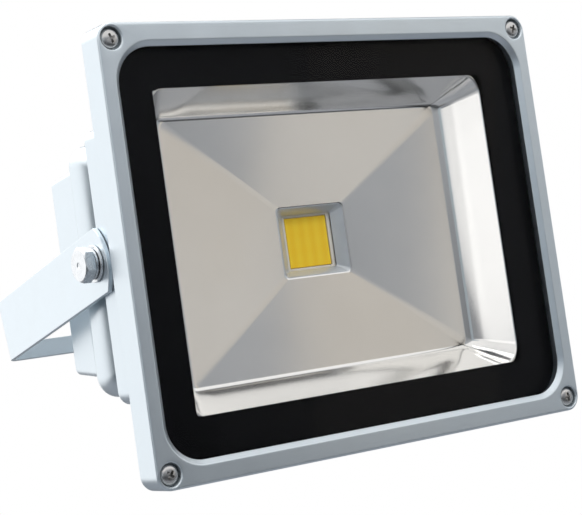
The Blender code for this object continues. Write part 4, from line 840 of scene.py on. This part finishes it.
def makeBracket(s):
    width, thick = s["halfWidth"], s["thickness"]
    outerX = s["innerX"] + thick
    arm = pivot["reach"] + s["tipReach"] - s["outerBend"]
    bend = s["outerBend"] * math.pi / 2
    crossbar = 2 * (outerX - s["outerBend"])
    total = 2 * (arm + bend) + crossbar
    bendSteps, tipSteps, slotSteps = s["bendSteps"], s["tipSteps"], s["slotSteps"]
    seam, reach = s["seam"], s["cutReach"]

    def tipArc(start, side):
        arc = []
        for step in range(tipSteps + 1):
            z = -width + 2 * width * step / tipSteps
            back = s["tipRadius"] - math.sqrt(s["tipRadius"] ** 2 - z * z)
            arc.append((start + side * back, z))
        return arc

    # the strip is first made flat: rows along it, close together where it will bend
    rows = [s["straightFrom"], arm - seam]
    rows += [arm + bend * step / bendSteps for step in range(bendSteps + 1)]
    rows += [arm + bend + seam, total - arm - bend - seam]
    rows += [total - arm - bend + bend * step / bendSteps for step in range(bendSteps + 1)]
    rows += [total - arm + seam, total - s["straightFrom"]]
    outlines = [tipArc(0, 1) + [(rows[0], width), (rows[0], -width)]]
    for first, second in zip(rows, rows[1:]):
        outlines.append([(first, -width), (first, width), (second, width), (second, -width)])
    outlines.append([(rows[-1], -width), (rows[-1], width)] + tipArc(total, -1)[::-1])

    bm = bmesh.new()
    made = {}

    def vertAt(along, z, level):
        key = (round(along, 4), round(z, 4), level)
        if key not in made:
            made[key] = bm.verts.new((along * mm, level * thick * mm, z * mm))
        return made[key]

    rims = {}
    for outline in outlines:
        for level in (0, 1):
            bm.faces.new([vertAt(along, z, level) for along, z in outline])
        for first, second in zip(outline, outline[1:] + outline[:1]):
            ends = [(round(along, 4), round(z, 4)) for along, z in (first, second)]
            rims.setdefault(frozenset(ends), []).append((first, second))
    for pairs in rims.values():
        if len(pairs) == 1:
            first, second = pairs[0]
            bm.faces.new((vertAt(*first, 0), vertAt(*second, 0), vertAt(*second, 1), vertAt(*first, 1)))
    strip = makePiece("bracketStrip", toMesh("bracketStrip", bm), None, wallPose)

    cutters = []
    for index, along in enumerate((s["tipReach"], total - s["tipReach"])):
        hole = turnedMesh("boltHoleCutter", [(0, reach), (s["hole"], reach), (s["hole"], -reach),
                                             (0, -reach)])
        pose = Matrix.Translation((along * mm, thick / 2 * mm, 0)) @ Matrix.Rotation(math.pi / 2, 4, "X")
        cutters.append(makePiece(f"boltHoleCutter{index}", hole, None, pose))
    middle = total / 2
    for index, side in enumerate((-1, 1)):
        half, radius = s["slotLength"] / 2 - s["slotWidth"] / 2, s["slotWidth"] / 2
        outline = [(sign * half + radius * math.cos(turn), radius * math.sin(turn))
                   for sign, start in ((1, -math.pi / 2), (-1, math.pi / 2))
                   for turn in [start + math.pi * step / slotSteps for step in range(slotSteps + 1)]]
        slot = prismMesh("slotCutter", outline, -reach, reach)
        pose = (Matrix.Translation(((middle + side * s["slotX"]) * mm, thick / 2 * mm, 0))
                @ Matrix.Rotation(math.pi / 2, 4, "X"))
        cutters.append(makePiece(f"slotCutter{index}", slot, None, pose))
    combine(strip, cutters, "DIFFERENCE")
    softer = strip.modifiers.new("Edges", "BEVEL")
    softer.width = s["edge"] * mm
    softer.segments = 3
    softer.limit_method = "ANGLE"
    softer.angle_limit = math.radians(s["edgeAngle"])
    settle(strip)

    # bend: along the strip, first the left arm back to the crossbar, then the right arm forward
    for vert in strip.data.vertices:
        along, inward, z = (value / mm for value in vert.co)
        side = -1 if along <= middle else 1
        if side > 0:
            along = total - along
        if along < arm:
            x, y = outerX - inward, -(pivot["reach"] + s["tipReach"]) + along
        elif along < arm + bend:
            turn = (along - arm) / s["outerBend"]
            radius = s["outerBend"] - inward
            x = outerX - s["outerBend"] + radius * math.cos(turn)
            y = -s["outerBend"] + radius * math.sin(turn)
        else:
            x, y = outerX - s["outerBend"] - (along - arm - bend), -inward
        vert.co = Vector((side * x, y, z)) * mm
    bm = bmesh.new()
    bm.from_mesh(strip.data)
    strip.data = toMesh("bracketStrip", bm)
    strip.data.materials.append(finishes["bracket_paint"])
    fit(strip, "bracket", "bracket_paint", "u_bracket")


makeBracket(bracketSettings)
print("floodlight: bracket")


# Pivot bolts and washers

boltSettings = {
    "acrossFlats": 13.0, "height": 4.6, "shank": 4.0, "length": 16.0, "turn": 8.0, "seatX": 114.9,
    "dimple": ((0, 0.35), (0.9, 0.3), (1.3, 0.05), (1.7, 0)),    # radius, depth under the top
    "crown": 0.47, "face": 0.5, "foot": 0.49, "seat": 0.48,      # radii, shares of the width
    "crownDrop": 0.12, "chamferDrop": 1.05, "footRise": 0.5, "seatRise": 0.1, "clear": 0.3,
    "overlap": 0.6, "steps": 72, "sharp": 25,
}
washerSettings = {"inner": 4.3, "outer": 7.6, "thickness": 1.0, "seatX": 112.3, "soft": 0.12}
springSettings = {"inner": 4.3, "outer": 6.35, "thickness": 1.0, "seatX": 113.6, "split": 9.0,
                  "soft": 0.1, "steps": 60}


def makeBolt(name, side, s):
    flats = s["acrossFlats"]
    height = s["height"]
    direction = "right" if side > 0 else "left"
    pose = standAt(side * s["seatX"], pivot["depth"], 0, direction)
    turn = -side * math.radians(s["turn"])
    head = makePiece(name, prismMesh(name, hexOutline(flats, turn), 0, height), "zinc_plate", pose)
    reach = flats / math.sqrt(3) + s["clear"]
    dome = [(radius, height - drop) for radius, drop in s["dimple"]]
    dome += [(flats * s["crown"], height), (flats * s["face"], height - s["crownDrop"]),
             (reach, height - s["chamferDrop"]), (reach, s["footRise"]), (flats * s["foot"], s["seatRise"]),
             (flats * s["seat"], 0), (0, 0)]
    turned = makePiece(f"{name}Dome", turnedMesh("dome", dome, s["steps"]), None, pose)
    combine(head, [turned], "INTERSECT", s["sharp"])
    radius, length, overlap = s["shank"], s["length"], s["overlap"]
    stem = [(0, overlap), (radius, overlap), (radius, -length + overlap), (radius - overlap, -length),
            (0, -length)]
    shank = makePiece(f"{name}Shank", turnedMesh("shank", stem), None, pose)
    combine(head, [shank], "UNION", s["sharp"])
    return fit(head, "head", "zinc_plate", f"pivot_bolt_{direction}")


def makeFlatWasher(side, s):
    direction = "right" if side > 0 else "left"
    inner, outer, thick, soft = s["inner"], s["outer"], s["thickness"], s["soft"]
    profile = [(inner, thick - soft), (inner + soft, thick), (outer - soft, thick), (outer, thick - soft),
               (outer, soft), (outer - soft, 0), (inner + soft, 0), (inner, soft)]
    flat = makePiece(f"flatWasher_{direction}", turnedMesh("flatWasher", profile, 64), "zinc_plate",
                     standAt(side * s["seatX"], pivot["depth"], 0, direction))
    fit(flat, "head", "zinc_plate", f"flat_washer_{direction}")


def makeSpringWasher(side, s):
    # a ring with a split, closed with a face at each end
    direction = "right" if side > 0 else "left"
    inner, outer, thick, soft = s["inner"], s["outer"], s["thickness"], s["soft"]
    section = [(inner, soft), (inner, thick - soft), (inner + soft, thick), (outer - soft, thick),
               (outer, thick - soft), (outer, soft), (outer - soft, 0), (inner + soft, 0)]
    steps = s["steps"]
    opening = math.radians(s["split"])
    bm = bmesh.new()
    loops = []
    for step in range(steps + 1):
        turn = opening / 2 + (math.tau - opening) * step / steps
        loops.append([bm.verts.new((radius * mm * math.cos(turn), radius * mm * math.sin(turn), height * mm))
                      for radius, height in section])
    for first, second in zip(loops, loops[1:]):
        bridge(bm, first, second)
    bm.faces.new(loops[0])
    bm.faces.new(reversed(loops[-1]))
    spring = makePiece(f"springWasher_{direction}", toMesh("springWasher", bm), "zinc_plate",
                       standAt(side * s["seatX"], pivot["depth"], 0, direction))
    fit(spring, "head", "zinc_plate", f"spring_washer_{direction}")


for side, name in ((1, "pivotBolt_right"), (-1, "pivotBolt_left")):
    makeBolt(name, side, boltSettings)
    makeFlatWasher(side, washerSettings)
    makeSpringWasher(side, springSettings)
print("floodlight: pivot bolts and washers")


# Housing: one casting of tub, flange, lugs, ridge, driver box, fins and bosses

tubSettings = {  # halfX, halfZ, corner, front, back, front and back softness, draft
    "tub": (97.45, 75.55, 13.0, 10.4, 46.0, 0, 1.5, (4.5, 4.5)),
    "rim": (107.15, 85.25, 18.0, 9.3, 15.3, 0.3, 0), "flange": (109.7, 89.9, 4.0, 14.3, 18.3, 0.3, 0.6),
    "recess": (98.45, 76.55, 13.65, 9.0, 10.4), "chamber": (93.45, 71.55, 9.0, 9.9, 42.0, 0, 2.0, (4.5, 4.5)),
}
rearSettings = {  # these sit 2 mm lower than the tub
    "lug": (109.7, 56.0, 5.5, 17.3, 28.6, 0, 1.2), "neck": (101.5, 49.0, 5.5, 27.6, 43.65, 0, 0),
    "box": (103.5, 45.6, 2.8, 42.0, 80.0, 0, 1.6, (2.2, 3.5)),
    "room": (95.3, 36.1, 6.0, 46.0, 81.0, 0, 0), "lid": (98.5, 39.3, 6.0, 74.8, 81.0, 0, 0),
}
ridgeSettings = {"halfX": 105.5, "halfZ": 53.2, "corner": 9.5, "front": 32.0, "back": 55.3,
                 "rollIn": 9.2, "rollBack": 15.0, "backSoft": 5.0, "steps": 10, "capInset": 20.0}
finSettings = {"pitch": 14.0, "each": 6, "thickness": 2.4, "front": 43.0, "back": 64.0, "root": 39.1,
               "tip": 71.05, "cut": 8.0, "clearing": 20.0, "soft": 0.45}
bossSettings = {  # each from its depth, radius and length; the holes follow in holeSettings
    "pivot": 11.0, "pivotFrom": 92.45, "pivotTo": 109.7, "pivotSoft": 0.3,
    "gland": 12.5, "glandDepth": 66.0, "glandFrom": 34.0, "glandSeat": 48.1, "glandSoft": 0.6,
    "postX": 90.8, "postZ": 31.6, "boardX": 51.0, "boardZ": 18.0, "earthX": -72.0, "earthZ": -12.0,
    "post": (45.0, 5.5, 30.3), "standoff": (45.0, 3.5, 7.0), "earth": (45.0, 4.5, 5.0),
}
holeSettings = {  # from its depth, radius, length, facets round
    "flange": (13.3, 2.3, 6.0, 24), "post": (65.5, 2.3, 10.5, 24), "lead": (41.0, 3.0, 6.0, 24),
    "board": (46.5, 1.8, 6.0, 16), "plate": (41.6, 1.8, 3.9, 16), "earth": (46.0, 2.3, 5.0, 24),
    "leadX": 34.0, "plateX": 19.3, "plateZ": 16.3,
    "pivot": 4.3, "pivotFrom": 96.0, "pivotPast": 1.0, "pivotFacets": 32,
    "gland": 8.3, "glandFrom": 33.5, "glandLength": 16.0,
}
castSharp = 34


def makeFin(x, side, s):
    outline = [(s["front"], s["root"]), (s["back"], s["root"]), (s["back"], s["tip"] - s["cut"]),
               (s["back"] - s["cut"], s["tip"]), (s["front"], s["tip"])]
    half = s["thickness"] / 2
    mesh = prismMesh("fin", [(depth, side * z) for depth, z in outline], -half, half, s["soft"])
    # the outline lies in (depth, z): turn it so that the fin stands across x
    turn = Matrix(((0, 0, 1, x * mm), (1, 0, 0, 0), (0, 1, 0, 0), (0, 0, 0, 1)))
    return makePiece("fin", mesh, None, headPose @ turn)


def ridgeMesh(s):
    # the front rounding is a quarter of an ellipse, so that the ridge reads as a roll
    keys = [(s["halfX"] - 2 * s["rollIn"], s["halfZ"] - 2 * s["rollIn"], s["corner"], s["front"])]
    for step in range(s["steps"] + 1):
        turn = math.pi / 2 * step / s["steps"]
        inset = s["rollIn"] * (1 - math.sin(turn))
        keys.append((s["halfX"] - inset, s["halfZ"] - inset, s["corner"],
                     s["front"] + s["rollBack"] * (1 - math.cos(turn)), 0))
    keys += [(s["halfX"], s["halfZ"], s["corner"], s["back"], s["backSoft"]),
             (s["halfX"] - s["capInset"], s["halfZ"] - s["capInset"], s["corner"], s["back"])]
    return skin("ridge", keys, steps=10, segments=6)


def makeHousing(tub, rear, fins, bosses, holes):
    def block(key, table, pose, steps=8, segments=6):
        return makePiece(key, skin(key, blockKeys(*table[key]), steps=steps, segments=segments), None, pose)

    def rods(table, key, places, base=rearPose):
        # one rod at each place, set off backwards
        depth, radius, length, *facets = table[key]
        return [rodPiece(radius, length, standAt(x, depth, z, "back", base), 0, *facets)
                for x, z in places]

    posts = corners(bosses["postX"], bosses["postZ"])
    standoffs = corners(bosses["boardX"], bosses["boardZ"])
    earth = [(bosses["earthX"], bosses["earthZ"])]

    shell = block("tub", tub, headPose)
    shell.data.materials.append(finishes["silver_paint"])
    joined = [block("rim", tub, headPose, 12), block("flange", tub, headPose)]
    joined += [block(key, rear, rearPose) for key in ("lug", "neck", "box")]
    joined.append(makePiece("ridge", ridgeMesh(ridgeSettings), None, rearPose))
    pivotReach = bosses["pivotTo"] - bosses["pivotFrom"]
    for side, direction in ((1, "right"), (-1, "left")):
        pose = standAt(side * bosses["pivotFrom"], pivot["depth"], 0, direction)
        joined.append(rodPiece(bosses["pivot"], pivotReach, pose, bosses["pivotSoft"]))
    for index in range(-fins["each"], fins["each"] + 1):
        x = index * fins["pitch"]
        joined.append(makeFin(x, 1, fins))
        if abs(x) > fins["clearing"]:
            joined.append(makeFin(x, -1, fins))
    glandFrom = bosses["glandFrom"]
    joined.append(rodPiece(bosses["gland"], bosses["glandSeat"] - glandFrom,
                           standAt(0, bosses["glandDepth"], -glandFrom, "down", rearPose),
                           bosses["glandSoft"]))
    combine(shell, joined, "UNION", castSharp)

    # the rooms, then what stands in them, then the cover's seat and the holes
    rooms = [block("recess", tub, headPose, 12), block("chamber", tub, headPose),
             block("room", rear, rearPose)]
    combine(shell, rooms, "DIFFERENCE", castSharp)
    combine(shell, rods(bosses, "post", posts), "UNION", castSharp)
    combine(shell, [block("lid", rear, rearPose)], "DIFFERENCE", castSharp)
    combine(shell, rods(bosses, "standoff", standoffs) + rods(bosses, "earth", earth), "UNION", castSharp)

    drills = rods(holes, "flange", corners(bezelSettings["screwX"], bezelSettings["screwZ"]), headPose)
    drills += rods(holes, "post", posts)
    for side, direction in ((1, "right"), (-1, "left")):
        pose = standAt(side * holes["pivotFrom"], pivot["depth"], 0, direction)
        length = bosses["pivotTo"] + holes["pivotPast"] - holes["pivotFrom"]
        drills.append(rodPiece(holes["pivot"], length, pose, steps=holes["pivotFacets"]))
    drills.append(rodPiece(holes["gland"], holes["glandLength"],
                           standAt(0, bosses["glandDepth"], -holes["glandFrom"], "down", rearPose)))
    drills += rods(holes, "lead", [(holes["leadX"], 0)], headPose)
    drills += rods(holes, "board", standoffs)
    drills += rods(holes, "plate", corners(holes["plateX"], holes["plateZ"]), headPose)
    drills += rods(holes, "earth", earth)
    combine(shell, drills, "DIFFERENCE", castSharp)
    return fit(shell, "head", "silver_paint", "housing")


makeHousing(tubSettings, rearSettings, finSettings, bossSettings, holeSettings)
print("floodlight: housing")


# Rear cover with its raised panel, and its four screws

coverSettings = {
    "plate": (98.2, 39.0, 5.7, 76.9, 79.7, 0.2, 0.5), "panel": (86.5, 27.3, 6.0, 79.0, 80.5, 0, 0.45),
    "hole": 2.3, "holeFrom": 75.0, "holeLength": 6.0, "seat": 80.0, "screwLength": 12.0, "turn": 0.4,
}


def makeCover(s):
    cover = makePiece("rearCover", skin("rearCover", blockKeys(*s["plate"])), "silver_paint", rearPose)
    panel = makePiece("panel", skin("panel", blockKeys(*s["panel"])), None, rearPose)
    combine(cover, [panel], "UNION", castSharp)
    places = corners(bossSettings["postX"], bossSettings["postZ"])
    drills = [rodPiece(s["hole"], s["holeLength"], standAt(x, s["holeFrom"], z, "back", rearPose), steps=24)
              for x, z in places]
    combine(cover, drills, "DIFFERENCE", castSharp)
    fit(cover, "head", "silver_paint", "rear_cover")
    for index, (x, z) in enumerate(places, 1):
        makeScrew(f"coverScrew{index}", s["screwLength"], standAt(x, s["seat"], z, "back", rearPose),
                  f"cover_screw_{index}", turn=s["turn"] * index)


makeCover(coverSettings)
print("floodlight: rear cover")


# Cable gland: body with its hexagon, and the dome nut that clamps the cord

glandSettings = {  # "body" and "nut" are profiles of (radius, height over the seat)
    "seat": 48.4, "depth": 66.0, "hex": 20.0, "hexHeight": 5.0, "hexSoft": 0.4, "turn": 30.0,
    "body": ((6.0, 15.0), (6.0, 9.0), (4.5, 8.0), (4.5, -17.0), (7.4, -17.0), (8.0, -16.4), (8.0, 0.5),
             (9.0, 0.5), (9.0, 4.0), (7.2, 4.0), (7.2, 15.0)),
    "bore": 5.2, "boreLength": 8.0, "boreFrom": -1.5,
    "nut": ((7.5, 5.3), (7.5, 15.6), (4.0, 15.6), (4.0, 18.0), (4.3, 18.3), (7.2, 18.3), (8.4, 17.2),
            (9.5, 15.6), (10.9, 14.2), (11.7, 12.9), (11.7, 5.3)),
    "nutHex": 20.0, "nutFrom": 4.0, "nutTo": 20.0,
}


def makeGland(s):
    pose = standAt(0, s["depth"], -s["seat"], "down", rearPose)
    turn = math.radians(s["turn"])
    body = makePiece("glandBody", turnedMesh("glandBody", s["body"], 48), "black_nylon", pose)
    hexagon = prismMesh("glandHex", hexOutline(s["hex"], turn), 0, s["hexHeight"], s["hexSoft"])
    flats = makePiece("glandHex", hexagon, None, pose)
    bore = rodPiece(s["bore"], s["boreLength"], pose @ Matrix.Translation((0, 0, s["boreFrom"] * mm)))
    combine(flats, [bore], "DIFFERENCE")
    combine(body, [flats], "UNION")
    fit(body, "head", "black_nylon", "gland_body")
    nut = makePiece("glandNut", turnedMesh("glandNut", s["nut"], 60), "black_nylon", pose)
    across = makePiece("nutHex", prismMesh("nutHex", hexOutline(s["nutHex"], turn), s["nutFrom"], s["nutTo"]),
                       None, pose)
    combine(nut, [across], "INTERSECT", 30)
    fit(nut, "head", "black_nylon", "gland_nut")


makeGland(glandSettings)
print("floodlight: cable gland")
